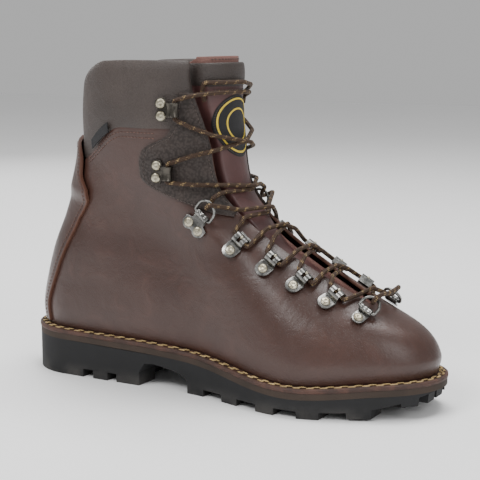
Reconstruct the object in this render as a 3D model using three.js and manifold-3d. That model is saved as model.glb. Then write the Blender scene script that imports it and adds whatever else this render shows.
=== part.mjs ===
// A laced leather mountaineering boot for the right foot, welted to a lugged rubber sole.
// Millimetres. +X to the toe, +Y to the inner (medial) side, +Z up. The origin is the middle of
// the heel tread, on the ground.
import * as THREE from "three";
import { mergeVertices } from "three/addons/utils/BufferGeometryUtils.js";
import Module from "manifold-3d";

const wasm = await Module();
wasm.setup();

// ---- driving dimensions -------------------------------------------------------------------
const FOOT_LENGTH = 321; // heel back to toe tip of the upper, measured along the boot
const SHAFT_HEIGHT = 235; // ground to the collar's top edge
const BALL_HALF_WIDTH = 51; // half the upper's width at the ball of the foot
const LEATHER = 2.4; // upper leather
const LINING = 2.6; // lining leather with its thin foam
const STIFFENER = 1.2; // toe puff and heel counter
const OVERLAY = 1.7; // facings and backstay laid on the upper
const GAP = 0.3; // clearance between touching pieces
const SEAT = 0.7; // clearance between curved sheets laid on each other
const WELT_REACH = 6.5; // welt and soles stand out past the upper
const WELT = 3.2; // welt thickness
const MIDSOLE = 3.8; // midsole thickness
const BOARD = 1.6; // insole board
const FOOTBED = 4.5; // loose footbed
const TREAD_DEPTH = 6; // lug height
const HEEL_FRONT = 62; // heel breast, ahead of the origin
const LACE = 3.4; // lace diameter
const SHEET_METAL = 1.1; // plates, loops and hooks
const RIVET_HEAD = 3.4; // rivet head radius
const RIVET_SHANK = 1.3; // rivet shank radius
const RING_WIRE = 1.1; // D-ring wire radius
const THROAT_LOW = 8; // half width of the throat at its toe end
const THROAT_HIGH = 34; // half width of the throat at the collar

// ---- the last: one smooth surface, in rings from the welt (0) to the collar's top (1) ------
const lengthScale = FOOT_LENGTH / 321;
const heightScale = SHAFT_HEIGHT / 235;
const widthScale = BALL_HALF_WIDTH / 51;
const seat = SEAT * Math.max(1, lengthScale); // flat facets stand further apart on a longer boot
// ring: level, back x, back z, front x, front z, half widths at heel, waist, ball and toe,
// lengths of the round caps at the back and the front
const RINGS = [
  [0.0, -42, 35, 271, 27, 33, 32, 51, 38, 36, 52],
  [0.08, -43, 50, 273, 39, 35, 34, 52, 40, 38, 54],
  [0.2, -38.5, 73, 262, 55, 35, 34, 48, 38, 40, 54],
  [0.32, -31.5, 96, 232, 72, 35, 32, 42, 36, 42, 56],
  [0.44, -22, 118, 196, 92, 34, 31, 36, 34, 44, 56],
  [0.56, -14, 140, 160, 114, 35, 33, 35, 34, 46, 56],
  [0.7, -7, 168, 132, 142, 37, 38, 38, 38, 50, 58],
  [0.84, -6, 198, 123, 186, 41, 43, 43, 42, 54, 56],
  [1.0, -4, 228, 121.5, 232, 43, 45, 45, 44, 56, 54],
].map(([level, xb, zb, xf, zf, ...rest]) => [
  level, xb * lengthScale, zb * heightScale, xf * lengthScale, zf * heightScale,
  ...rest.slice(0, 4).map(half => half * widthScale), ...rest.slice(4),
]);

function track(column) {
  const xs = RINGS.map(row => row[0]);
  const ys = RINGS.map(row => row[column]);
  const slope = i => {
    const a = Math.max(i - 1, 0);
    const b = Math.min(i + 1, xs.length - 1);
    return (ys[b] - ys[a]) / (xs[b] - xs[a]);
  };
  return v => {
    let i = 0;
    while (i < xs.length - 2 && v > xs[i + 1]) i += 1;
    const h = xs[i + 1] - xs[i];
    const t = (v - xs[i]) / h;
    const t2 = t * t;
    const t3 = t2 * t;
    return (2 * t3 - 3 * t2 + 1) * ys[i] + (t3 - 2 * t2 + t) * h * slope(i)
      + (3 * t2 - 2 * t3) * ys[i + 1] + (t3 - t2) * h * slope(i + 1);
  };
}
const [xBack, zBack, xFront, zFront, wHeel, wWaist, wBall, wToe, capBack, capFront] =
  [1, 2, 3, 4, 5, 6, 7, 8, 9, 10].map(track);

const clamp = THREE.MathUtils.clamp;
const lerp = THREE.MathUtils.lerp;
const smooth = t => {
  const c = clamp(t, 0, 1);
  return c * c * (3 - 2 * c);
};

function halfWidth(v, s) {
  const keys = [[0, wHeel(v)], [0.16, wHeel(v)], [0.45, wWaist(v)], [0.74, wBall(v)],
    [0.92, wToe(v)], [1, wToe(v)]];
  let i = 0;
  while (i < keys.length - 2 && s > keys[i + 1][0]) i += 1;
  const [s0, w0] = keys[i];
  const [s1, w1] = keys[i + 1];
  return lerp(w0, w1, smooth((s - s0) / (s1 - s0)));
}
// the foot's middle line turns inwards towards the toe
const centreLine = x => (x < 90 ? 0 : 9 * ((x - 90) / 190) ** 1.5);
// the ball sits lower than heel and toe
const ballDip = x => -9 * Math.exp(-(((x - 185 * lengthScale) / 62) ** 2));
const roundCap = (distance, radius) =>
  (distance >= radius ? 1 : Math.sqrt(Math.max(0, 1 - (1 - distance / radius) ** 2)));

// u runs from -1 (back) over the outer side to 0 (front) and over the inner side to 1 (back)
function last(u, v) {
  const s = (1 - Math.cos(Math.PI * (1 - Math.abs(u)))) / 2;
  const x = lerp(xBack(v), xFront(v), s);
  const side = u < 0 ? -1 : 1;
  const arch = side > 0 ? 0.14 * Math.exp(-(((x - 100) / 50) ** 2)) * clamp(1 - v, 0, 1) : 0;
  const w = halfWidth(v, s) * (1 - arch) * roundCap(x - xBack(v), capBack(v))
    * roundCap(xFront(v) - x, capFront(v));
  const z = lerp(zBack(v), zFront(v), s ** 1.25) + ballDip(x) * clamp(1 - v, 0, 1) ** 3;
  return new THREE.Vector3(x, centreLine(x) + side * w, z);
}
const wrapU = u => (u > 1 ? u - 2 : u < -1 ? u + 2 : u);
function lastNormal(u, v) {
  const e = 0.004;
  const du = last(wrapU(u + e), v).sub(last(wrapU(u - e), v));
  const dv = last(u, v + e).sub(last(u, v - e));
  return du.cross(dv).normalize();
}
const offLast = (u, v, offset) => last(u, v).addScaledVector(lastNormal(u, v), offset);

// ---- finding places on the last ---------------------------------------------------------------
function solve(low, high, tooLow) {
  let a = low;
  let b = high;
  for (let i = 0; i < 40; i += 1) {
    const m = (a + b) / 2;
    if (tooLow(m)) a = m;
    else b = m;
  }
  return (a + b) / 2;
}
const levelAtHeight = (u, z) => solve(-0.05, 1.2, v => last(u, v).z < z);
function alongKeys(keys, t) {
  let i = 0;
  while (i < keys.length - 2 && t > keys[i + 1][0]) i += 1;
  const [t0, value0] = keys[i];
  const [t1, value1] = keys[i + 1];
  return lerp(value0, value1, clamp((t - t0) / (t1 - t0), 0, 1));
}
// half width of the throat, from its toe end up
const THROAT_START = 0.335;
const THROAT_SHAPE = [[THROAT_START, 0], [0.37, 0.04], [0.42, 0.13], [0.5, 0.25], [0.6, 0.37],
  [0.7, 0.5], [0.8, 0.56], [0.86, 0.69], [0.92, 0.85], [1, 1]];
const throatHalf = v => lerp(THROAT_LOW, THROAT_HIGH, alongKeys(THROAT_SHAPE, v));
function throatU(v) {
  const span = throatHalf(v);
  return solve(0, 0.5, u => last(u, v).y - centreLine(last(u, v).x) < span);
}

// ---- solids -------------------------------------------------------------------------------------
function geometryOf(points, triangles) {
  const geometry = new THREE.BufferGeometry();
  const flat = points.flatMap(p => [p.x, p.y, p.z]);
  geometry.setAttribute("position", new THREE.Float32BufferAttribute(flat, 3));
  geometry.setIndex(triangles);
  return mergeVertices(geometry, 1e-4);
}
// A sheet with two faces and walls all round, over the kept cells of a grid
function sheet(columns, rows, outer, inner, { closed = false, keep = () => true } = {}) {
  const across = closed ? columns : columns + 1;
  const points = [];
  for (const face of [outer, inner]) {
    for (let j = 0; j <= rows; j += 1) {
      for (let i = 0; i < across; i += 1) points.push(face(i / columns, j / rows));
    }
  }
  const half = across * (rows + 1);
  const at = (i, j) => j * across + (closed ? (i + columns) % columns : i);
  const kept = (i, j) => {
    const column = closed ? (i + columns) % columns : i;
    return column >= 0 && column < columns && j >= 0 && j < rows && keep(column, j);
  };
  const triangles = [];
  const wall = (a, b) => triangles.push(a, a + half, b + half, a, b + half, b);
  for (let j = 0; j < rows; j += 1) {
    for (let i = 0; i < columns; i += 1) {
      if (!kept(i, j)) continue;
      const [a, b, c, d] = [at(i, j), at(i + 1, j), at(i + 1, j + 1), at(i, j + 1)];
      triangles.push(a, b, c, a, c, d, a + half, c + half, b + half, a + half, d + half, c + half);
      if (!kept(i, j - 1)) wall(a, b);
      if (!kept(i + 1, j)) wall(b, c);
      if (!kept(i, j + 1)) wall(c, d);
      if (!kept(i - 1, j)) wall(d, a);
    }
  }
  return geometryOf(points, triangles);
}
// A sheet over the patch between u0 and u1 whose levels run from low(u) to high(u)
function patch(columns, rows, u0, u1, low, high, inside, outside) {
  const point = offset => (p, q) => {
    const u = lerp(u0, u1, p);
    const v = lerp(low(u), high(u), q);
    return offLast(wrapU(u), v, typeof offset === "function" ? offset(u, v, p, q) : offset);
  };
  return sheet(columns, rows, point(outside), point(inside));
}
function solidOf(geometry) {
  const bare = geometry.clone();
  bare.deleteAttribute("normal");
  bare.deleteAttribute("uv");
  const merged = mergeVertices(bare, 1e-4);
  return new wasm.Manifold(new wasm.Mesh({
    numProp: 3,
    vertProperties: new Float32Array(merged.attributes.position.array),
    triVerts: new Uint32Array(merged.index.array),
  }));
}
function geometryFrom(solid) {
  const mesh = solid.getMesh();
  const geometry = new THREE.BufferGeometry();
  geometry.setAttribute("position", new THREE.BufferAttribute(mesh.vertProperties, 3));
  geometry.setIndex(new THREE.BufferAttribute(mesh.triVerts, 1));
  return geometry;
}
function extrude(shape, depth, curveSegments = 10) {
  return new THREE.ExtrudeGeometry(shape, { depth, bevelEnabled: false, curveSegments });
}

// ---- scene graph ----------------------------------------------------------------------------------
const boot = new THREE.Group();
const finish = (color, roughness, metalness = 0) =>
  new THREE.MeshStandardMaterial({ color, roughness, metalness });
const FINISHES = {
  leather: [0x5f4840, 0.45],
  grain: [0x413834, 0.6],
  padding: [0x58504c, 0.6],
  tongue: [0x4b3230, 0.5],
  welt: [0x5a3c32, 0.7],
  midsole: [0x463e36, 0.85],
  rubber: [0x2d2d2e, 0.8],
  board: [0x8a7458, 0.9],
  steel: [0x8f8f90, 0.35, 1],
  nickel: [0xa9a8a4, 0.3, 1],
  bronze: [0x4a4743, 0.35, 1],
  lining: [0x6d5247, 0.75],
  lace: [0x5f4632, 0.85],
  badge: [0x1c1b1c, 0.8],
};
function add(name, geometry, look, matrix) {
  const mesh = new THREE.Mesh(geometry, finish(...FINISHES[look]));
  mesh.name = name;
  if (matrix) {
    mesh.applyMatrix4(matrix);
  }
  boot.add(mesh);
  return mesh;
}

const liningOut = -(LEATHER + 1 + STIFFENER + 1); // offset of the lining's outer face

// ---- sole: plates that follow the last's outline ----------------------------------------------------
const footLine = x => {
  const s = clamp((x - xBack(0)) / (xFront(0) - xBack(0)), 0, 1);
  return lerp(zBack(0), zFront(0), s ** 1.25) + ballDip(x);
};
const OUTLINE_STEPS = 30;
function outlinePoint(u, offset) {
  const e = 0.004;
  const along = last(wrapU(u + e), 0).sub(last(wrapU(u - e), 0));
  const out = new THREE.Vector3(along.y, -along.x, 0).normalize();
  return last(u, 0).addScaledVector(out, offset);
}
// a plate: two rails (outer and inner side) joined across, with its own top and bottom heights
function plate(offset, top, bottom) {
  const rails = (p, q) => {
    const u = q < 0.5 ? -1 + p : 1 - p;
    return outlinePoint(clamp(u, -1, 1), offset);
  };
  const at = height => (p, q) => {
    const point = rails(p, q);
    return new THREE.Vector3(point.x, point.y, height(point.x));
  };
  return sheet(OUTLINE_STEPS, 1, at(top), at(bottom));
}
// the ring under the upper's edge
function weltRing() {
  const levels = [-7, WELT_REACH];
  const at = height => (p, q) => {
    const point = outlinePoint(wrapU(-1 + 2 * p), lerp(levels[1], levels[0], q));
    return new THREE.Vector3(point.x, point.y, height(point.x));
  };
  return sheet(40, 1, at(x => footLine(x) - GAP), at(x => footLine(x) - GAP - WELT), { closed: true });
}
const weltBottom = x => footLine(x) - GAP - WELT;
const soleTop = x => weltBottom(x) - GAP - MIDSOLE - GAP;
const toeSpring = x => 13 * Math.max(0, (x - 214 * lengthScale) / 62) ** 2;

function sideProfile(points, halfY) {
  const shape = new THREE.Shape(points.map(([x, z]) => new THREE.Vector2(x, z)));
  const geometry = extrude(shape, 2 * halfY);
  geometry.rotateX(Math.PI / 2);
  geometry.translate(0, halfY, 0);
  return solidOf(geometry);
}
function lug(x, y, long, wide, base) {
  const top = soleTop(x) - 2;
  const taper = 1.2;
  const shape = new THREE.Shape();
  shape.moveTo(-long / 2, -wide / 2);
  shape.lineTo(long / 2, -wide / 2);
  shape.lineTo(long / 2, wide / 2);
  shape.lineTo(-long / 2, wide / 2);
  const geometry = extrude(shape, top - base);
  const position = geometry.attributes.position;
  for (let i = 0; i < position.count; i += 1) {
    if (position.getZ(i) < 0.01) {
      position.setX(i, position.getX(i) * (1 - taper / long));
      position.setY(i, position.getY(i) * (1 - taper / wide));
    }
  }
  geometry.translate(x, y, base);
  return solidOf(geometry);
}
// heel blocks on each side, back to front: from, to
const HEEL_BLOCKS = [[xBack(0) - 18, 12], [20, 34], [41, HEEL_FRONT]];
const SIDE_BLOCK = 15.5 * lengthScale; // length of a forefoot side block
const BLOCK_PITCH = 31.5 * lengthScale;
const FIRST_BLOCK = 110 * lengthScale;
function outsole() {
  const tall = solidOf(plate(WELT_REACH, soleTop, () => -6));
  const heelBack = xBack(0) - 20;
  const toe = xFront(0) + 20;
  const base = [[heelBack, TREAD_DEPTH], [HEEL_FRONT - 2, TREAD_DEPTH], [HEEL_FRONT + 3, 17],
    [HEEL_FRONT + 14, 17.5], [FIRST_BLOCK - 15, 14]];
  for (let i = 0; i <= 8; i += 1) {
    const x = lerp(FIRST_BLOCK, toe, i / 8);
    base.push([x, TREAD_DEPTH - 1 + toeSpring(x)]);
  }
  base.push([toe, 60], [heelBack, 60]);
  let solid = tall.intersect(sideProfile(base, 90));
  const lugs = [];
  for (const [from, to] of HEEL_BLOCKS) {
    for (const y of [-31, 31]) lugs.push(lug((from + to) / 2, y, to - from, 27, 0));
  }
  lugs.push(lug(-42, 0, 24, 40, 0));
  lugs.push(lug(0, 0, 24, 20, 0));
  lugs.push(lug(38, 0, 26, 20, 0));
  // forefoot: side blocks, with pairs of middle blocks between them
  for (let x = FIRST_BLOCK; x < toe; x += BLOCK_PITCH) {
    const y = centreLine(x);
    lugs.push(lug(x, y - 43, SIDE_BLOCK, 40, toeSpring(x)));
    lugs.push(lug(x, y + 41, SIDE_BLOCK, 40, toeSpring(x)));
    for (const [step, half] of [[-1, 7.5], [BLOCK_PITCH / 2, 11]]) {
      const middle = x + step;
      lugs.push(lug(middle, centreLine(middle) - half, 11, 12, toeSpring(middle)));
      lugs.push(lug(middle, centreLine(middle) + half, 11, 12, toeSpring(middle)));
    }
  }
  for (const block of lugs) solid = solid.add(block.intersect(tall));
  return geometryFrom(solid);
}
add("outsole", outsole(), "rubber");
add("midsole", plate(WELT_REACH, x => weltBottom(x) - GAP, x => soleTop(x) + GAP), "midsole");
add("welt", weltRing(), "welt");
const boardTop = x => footLine(x) - GAP;
add("insole_board", plate(-8.2, boardTop, x => boardTop(x) - BOARD), "board");
const SHANK_HALF = 8;
function shank() {
  const at = drop => (p, q) => {
    const x = lerp(-8, 112, p);
    return new THREE.Vector3(x, lerp(-SHANK_HALF, SHANK_HALF, q), weltBottom(x) + drop);
  };
  return sheet(10, 1, at(1.2), at(0));
}
add("shank", shank(), "steel");
const footbedReach = liningOut - LINING - seat - GAP;
add("footbed", plate(footbedReach, x => footLine(x) + GAP + FOOTBED, x => footLine(x) + GAP), "lining");

// ---- upper and what lies under it ---------------------------------------------------------------------
const UPPER_COLUMNS = 36;
const UPPER_ROWS = 17;
const THROAT_COLUMNS = 2;
const UPPER_FRONT = 0.5 / UPPER_COLUMNS;
const seamHeight = x => (158 + 30 * smooth((x + 8) / 66)) * heightScale;
const seamLevel = u => levelAtHeight(u, seamHeight(last(u, 0.65).x));
const throatRow = 8;
// level of each row: evenly to the throat's toe end, then evenly up to the collar seam
function rowLevel(u, q, low) {
  const split = throatRow / UPPER_ROWS;
  if (q <= split) return lerp(low, THROAT_START, q / split);
  return lerp(THROAT_START, seamLevel(u), (q - split) / (1 - split));
}
// columns gather along the throat's edges
function columnU(p, v) {
  const a = -1 + 2 * p;
  const edge = (2 * THROAT_COLUMNS) / UPPER_COLUMNS;
  const u = throatU(Math.max(v, THROAT_START));
  const open = smooth((v - 0.12) / (THROAT_START - 0.12));
  const at = lerp(edge, u, open);
  const m = Math.abs(a);
  const bent = m < edge ? (m / edge) * at : at + ((m - edge) / (1 - edge)) * (1 - at);
  return Math.sign(a) * bent;
}
function shell(low, inside, outside) {
  const middle = UPPER_COLUMNS / 2;
  const point = offset => (p, q) => {
    let u = -1 + 2 * p;
    let v = 0;
    for (let i = 0; i < 4; i += 1) {
      v = rowLevel(u, q, low);
      u = columnU(p, v);
    }
    return offLast(u, v, offset);
  };
  const keep = (i, j) => j < throatRow || i < middle - THROAT_COLUMNS || i >= middle + THROAT_COLUMNS;
  return sheet(UPPER_COLUMNS, UPPER_ROWS, point(outside), point(inside), { closed: true, keep });
}
add("upper", shell(0, -LEATHER, 0), "leather");
add("lining", shell(0.012, liningOut - LINING, liningOut), "lining");
const stiffOut = -(LEATHER + 1);
const puffTop = u => 0.285 - 0.13 * smooth(Math.abs(u) / 0.42);
add("toe_puff", patch(18, 5, -0.42, 0.42, () => 0.02, puffTop, stiffOut - STIFFENER, stiffOut), "board");
const counterTop = u => 0.36 - 0.22 * smooth((1 - Math.abs(wrapU(u))) / 0.42);
add("heel_counter", patch(16, 5, 0.6, 1.4, () => 0.02, counterTop, stiffOut - STIFFENER, stiffOut),
  "board");

const COLLAR_BULGE = 1.8; // the collar padding swells past the upper

// ---- backstay, collar and facings ------------------------------------------------------------------------
const BACKSTAY_TOP = 0.745;
// half the backstay's width as a share of the ring, by level: a broad shoulder under a narrow tab
const BACKSTAY = [[0.03, 0.15], [0.1, 0.15], [0.26, 0.181], [0.45, 0.233], [0.53, 0.272],
  [0.575, 0.269], [0.62, 0.224], [0.69, 0.212], [0.72, 0.17], [BACKSTAY_TOP, 0.09]];
function backstay() {
  const point = offset => (p, q) => {
    const v = lerp(0.03, BACKSTAY_TOP, q);
    const half = alongKeys(BACKSTAY, v);
    const u = 1 + lerp(-half, half, p);
    return offLast(wrapU(u), v, offset + (COLLAR_BULGE + GAP) * smooth((v - 0.51) / 0.06));
  };
  return sheet(10, 14, point(seat + OVERLAY), point(seat));
}
add("backstay", backstay(), "leather");

const COLLAR_OPEN = 0.955; // above this level the throat's edges run straight up
const COLLAR_DIP = 10; // the collar's edge is lower at the back
const collarTop = x => (SHAFT_HEIGHT - COLLAR_DIP * (1 - smooth((x + 6) / 40)));
const collarTopLevel = u => levelAtHeight(u, collarTop(last(u, 0.97).x));
function collar() {
  const inner = liningOut - LINING;
  const rim = inner / 2;
  const rounding = q => Math.sqrt(Math.max(0, 1 - clamp((q - 0.82) / 0.18, 0, 1) ** 2));
  const place = (p, q) => {
    let u = 1;
    let v = 0.9;
    for (let i = 0; i < 4; i += 1) {
      const edge = throatU(Math.min(v, COLLAR_OPEN)) + 0.004;
      u = lerp(edge, 2 - edge, p);
      u = wrapU(u);
      v = lerp(seamLevel(u) + 0.006, collarTopLevel(u), q);
    }
    return [u, v];
  };
  const outer = (p, q) => {
    const [u, v] = place(p, q);
    const swell = COLLAR_BULGE * smooth((Math.abs(u) - 0.4) / 0.12) * Math.sin(Math.PI * q);
    return offLast(u, v, lerp(rim, swell, rounding(q)));
  };
  const inside = (p, q) => {
    const [u, v] = place(p, q);
    return offLast(u, v, lerp(rim - 0.2, inner, rounding(q)));
  };
  return sheet(28, 7, outer, inside);
}
add("collar", collar(), "padding");

// the facing's rear edge by level: a narrow strip at the collar, a broad lobe round the lower hook
const FACING_LOW = 0.612;
const FACING_HIGH = 0.93;
const FACING_REAR = [[FACING_LOW, 0.27], [0.633, 0.36], [0.646, 0.41], [0.655, 0.462], [0.68, 0.492],
  [0.738, 0.478], [0.767, 0.458], [0.787, 0.422], [0.808, 0.36], [0.833, 0.33], [0.9, 0.308],
  [FACING_HIGH, 0.29]];
function facing(side) {
  const at = offset => (p, q) => {
    const v = lerp(FACING_LOW, FACING_HIGH, q);
    const edge = lerp(throatU(v) + 0.008, 0.2, 1 - smooth((v - FACING_LOW) / 0.03));
    const u = side * lerp(edge, alongKeys(FACING_REAR, v), side < 0 ? 1 - p : p);
    return offLast(u, v, offset);
  };
  return sheet(8, 14, at(seat + OVERLAY), at(seat));
}
add("facing_lateral", facing(-1), "grain");
add("facing_medial", facing(1), "grain");

// ---- tongue ---------------------------------------------------------------------------------------------
const TONGUE_LOW = 0.345;
const TONGUE_HIGH = 1.016;
const TONGUE_MARGIN = 0.035; // how far the tongue reaches under the quarters
// share of the throat's half width that each column stands at: close together where the face dips
const TONGUE_COLUMNS = [0, 0.22, 0.44, 0.64, 0.76, 0.87, 0.98];
const TONGUE_EDGE = liningOut - LINING - seat; // offset of its edges, under the lining
const tongueCrown = v => lerp(-7.4, -0.6, smooth((v - 0.52) / 0.14));
const tongueThick = v => 2.6 + 3 * smooth((v - 0.66) / 0.2);
function tongueAt(u, v) {
  const open = throatU(Math.min(v, COLLAR_OPEN));
  const rise = smooth((open * 0.98 - Math.abs(u)) / (open * 0.34));
  return lerp(TONGUE_EDGE, tongueCrown(v), rise);
}
function tongue() {
  const at = layer => (p, q) => {
    const v = lerp(TONGUE_LOW, TONGUE_HIGH, q);
    const tip = clamp((q - 0.9) / 0.1, 0, 1) ** 2;
    const narrow = Math.sqrt(1 - 0.35 * tip);
    const column = Math.round(Math.abs(2 * p - 1) * TONGUE_COLUMNS.length);
    const reach = column < TONGUE_COLUMNS.length
      ? throatU(v) * TONGUE_COLUMNS[column] : throatU(v) + TONGUE_MARGIN;
    const u = Math.sign(p - 0.5) * reach * narrow;
    return offLast(u, v, tongueAt(u, v) - lerp(layer, 0.5, 0.7 * tip) * tongueThick(v));
  };
  return sheet(2 * TONGUE_COLUMNS.length, 20, at(0), at(1));
}
add("tongue", tongue(), "tongue");
const BADGE_LOW = 0.785;
const BADGE_HIGH = 0.925;
const BADGE_HALF = 0.13;
function badge() {
  const middle = (BADGE_LOW + BADGE_HIGH) / 2;
  const at = offset => (p, q) => {
    const angle = Math.PI * (q - 0.5);
    const v = middle + (BADGE_HIGH - BADGE_LOW) / 2 * Math.sin(angle);
    const u = lerp(-BADGE_HALF, BADGE_HALF, p) * Math.max(Math.cos(angle), 0.12);
    return offLast(u, v, tongueAt(u, v) + offset);
  };
  return sheet(8, 10, at(seat - 0.2 + 0.9), at(seat - 0.2));
}
add("tongue_badge", badge(), "badge");
// a small label let into the collar's seam on the outer side
function sideTab() {
  const at = offset => (p, q) => {
    const u = lerp(-0.69, -0.585, p);
    const v = seamLevel(u) + lerp(-0.002, 0.035, q);
    return offLast(u, v, offset + COLLAR_BULGE);
  };
  return sheet(4, 2, at(1.1), at(0.5));
}
add("side_tab", sideTab(), "badge");

// ---- metal fittings: local X runs towards the throat, Z stands off the leather ----------------------------
function fittingMatrix(side, [u0, v0], [u1, v1], lift) {
  const n0 = lastNormal(side * u0, v0);
  const n1 = lastNormal(side * u1, v1);
  const base = last(side * u0, v0).addScaledVector(n0, lift);
  const tip = last(side * u1, v1).addScaledVector(n1, lift);
  const x = tip.clone().sub(base).normalize();
  const z = n0.add(n1);
  z.addScaledVector(x, -z.dot(x)).normalize();
  const y = z.clone().cross(x);
  return new THREE.Matrix4().makeBasis(x, y, z).setPosition(base);
}
// a strip of sheet metal bent along a path in X and Z
function ribbon(path, width) {
  const points = path.map(([x, z]) => new THREE.Vector2(x, z));
  const left = [];
  const right = [];
  points.forEach((p, i) => {
    const before = points[Math.max(i - 1, 0)];
    const after = points[Math.min(i + 1, points.length - 1)];
    const along = after.clone().sub(before).normalize();
    const across = new THREE.Vector2(-along.y, along.x).multiplyScalar(SHEET_METAL / 2);
    left.push(p.clone().add(across));
    right.unshift(p.clone().sub(across));
  });
  const geometry = extrude(new THREE.Shape([...left, ...right]), width);
  geometry.rotateX(Math.PI / 2);
  geometry.translate(0, width / 2, 0);
  return solidOf(geometry);
}
// a flat plate with round ends round its rivets and a straight tab towards the throat
function basePlate(rivetsY, radius, tabWidth, tabEnd) {
  const reach = rivetsY[rivetsY.length - 1] + radius;
  const shape = new THREE.Shape();
  shape.absarc(0, reach - radius, radius, Math.PI / 2, Math.PI, false);
  shape.absarc(0, radius - reach, radius, Math.PI, 1.5 * Math.PI, false);
  shape.lineTo(radius * 0.7, -reach);
  shape.lineTo(radius, -tabWidth / 2);
  shape.lineTo(tabEnd, -tabWidth / 2);
  shape.lineTo(tabEnd, tabWidth / 2);
  shape.lineTo(radius, tabWidth / 2);
  shape.lineTo(radius * 0.7, reach);
  for (const y of rivetsY) {
    const hole = new THREE.Path();
    hole.absarc(0, y, RIVET_SHANK + GAP, 0, 2 * Math.PI, true);
    shape.holes.push(hole);
  }
  return solidOf(extrude(shape, SHEET_METAL, 3));
}
function rivet() {
  const low = 0.1;
  const seat = SHEET_METAL + GAP;
  const rise = RIVET_HEAD * 0.4;
  const profile = [[0, low], [RIVET_SHANK, low], [RIVET_SHANK, seat], [RIVET_HEAD, seat],
    [RIVET_HEAD * 0.94, seat + rise * 0.4], [RIVET_HEAD * 0.62, seat + rise * 0.86], [0, seat + rise]];
  const geometry = new THREE.LatheGeometry(profile.map(([r, z]) => new THREE.Vector2(r, z)), 8);
  geometry.rotateX(Math.PI / 2);
  return geometryFrom(solidOf(geometry));
}
const mid = SHEET_METAL / 2;
const LOOP_PATH = [[4.4, mid], [5.2, 1.6], [5.9, 3.8], [7.3, 5.5], [9.4, 6.2], [11.6, 5.8], [13.3, 4.3],
  [14, 2.2], [14.3, mid], [15.4, mid]];
function loop() {
  const plateSolid = basePlate([0], 5.5, 10, 5.2);
  const arch = ribbon(LOOP_PATH, 9.6);
  const slot = new THREE.BoxGeometry(6, 1.7, 4);
  slot.translate(9.8, 0, 6.4);
  return geometryFrom(plateSolid.add(arch).subtract(solidOf(slot)));
}
const HOOK_PATH = [[4.4, mid], [9.6, mid], [11.5, 1.5], [12.3, 3.6], [11.7, 5.6], [9.9, 6.9], [7.7, 6.9],
  [6.2, 6.2], [5.2, 6.4]];
function hook() {
  return geometryFrom(basePlate([-4.3, 4.3], 4.1, 9, 5.2).add(ribbon(HOOK_PATH, 9.6)));
}
const barrelBore = RING_WIRE + 0.35;
const barrelRadius = barrelBore + SHEET_METAL;
function barrelPlate(rivetsY, radius, barrelX, width) {
  const shape = new THREE.Shape();
  shape.absarc(barrelX, barrelRadius, barrelRadius, 0, 2 * Math.PI, false);
  const bore = new THREE.Path();
  bore.absarc(barrelX, barrelRadius, barrelBore, 0, 2 * Math.PI, true);
  shape.holes.push(bore);
  const barrel = extrude(shape, width, 5);
  barrel.rotateX(Math.PI / 2);
  barrel.translate(0, width / 2, 0);
  return geometryFrom(basePlate(rivetsY, radius, width, barrelX).add(solidOf(barrel)));
}
// a D of round wire, its straight side on the local Y axis
function ring(half, length) {
  const corner = 1.8;
  const points = [];
  const turn = (x, y, radius, from, to, steps) => {
    for (let i = 0; i <= steps; i += 1) {
      const angle = lerp(from, to, i / steps);
      points.push(new THREE.Vector3(x + radius * Math.cos(angle), y + radius * Math.sin(angle), 0));
    }
  };
  points.push(new THREE.Vector3(0, half * 0.55, 0), new THREE.Vector3(0, 0, 0));
  points.push(new THREE.Vector3(0, -half * 0.55, 0));
  turn(corner, corner - half, corner, Math.PI, 1.5 * Math.PI, 2);
  turn(length - half, 0, half, -Math.PI / 2, Math.PI / 2, 8);
  turn(corner, half - corner, corner, Math.PI / 2, Math.PI, 2);
  const curve = new THREE.CatmullRomCurve3(points, true, "centripetal");
  return new THREE.TubeGeometry(curve, points.length, RING_WIRE, 6, true);
}
const localAt = (matrix, x, y, z) => matrix.clone().multiply(new THREE.Matrix4().makeTranslation(x, y, z));

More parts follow.
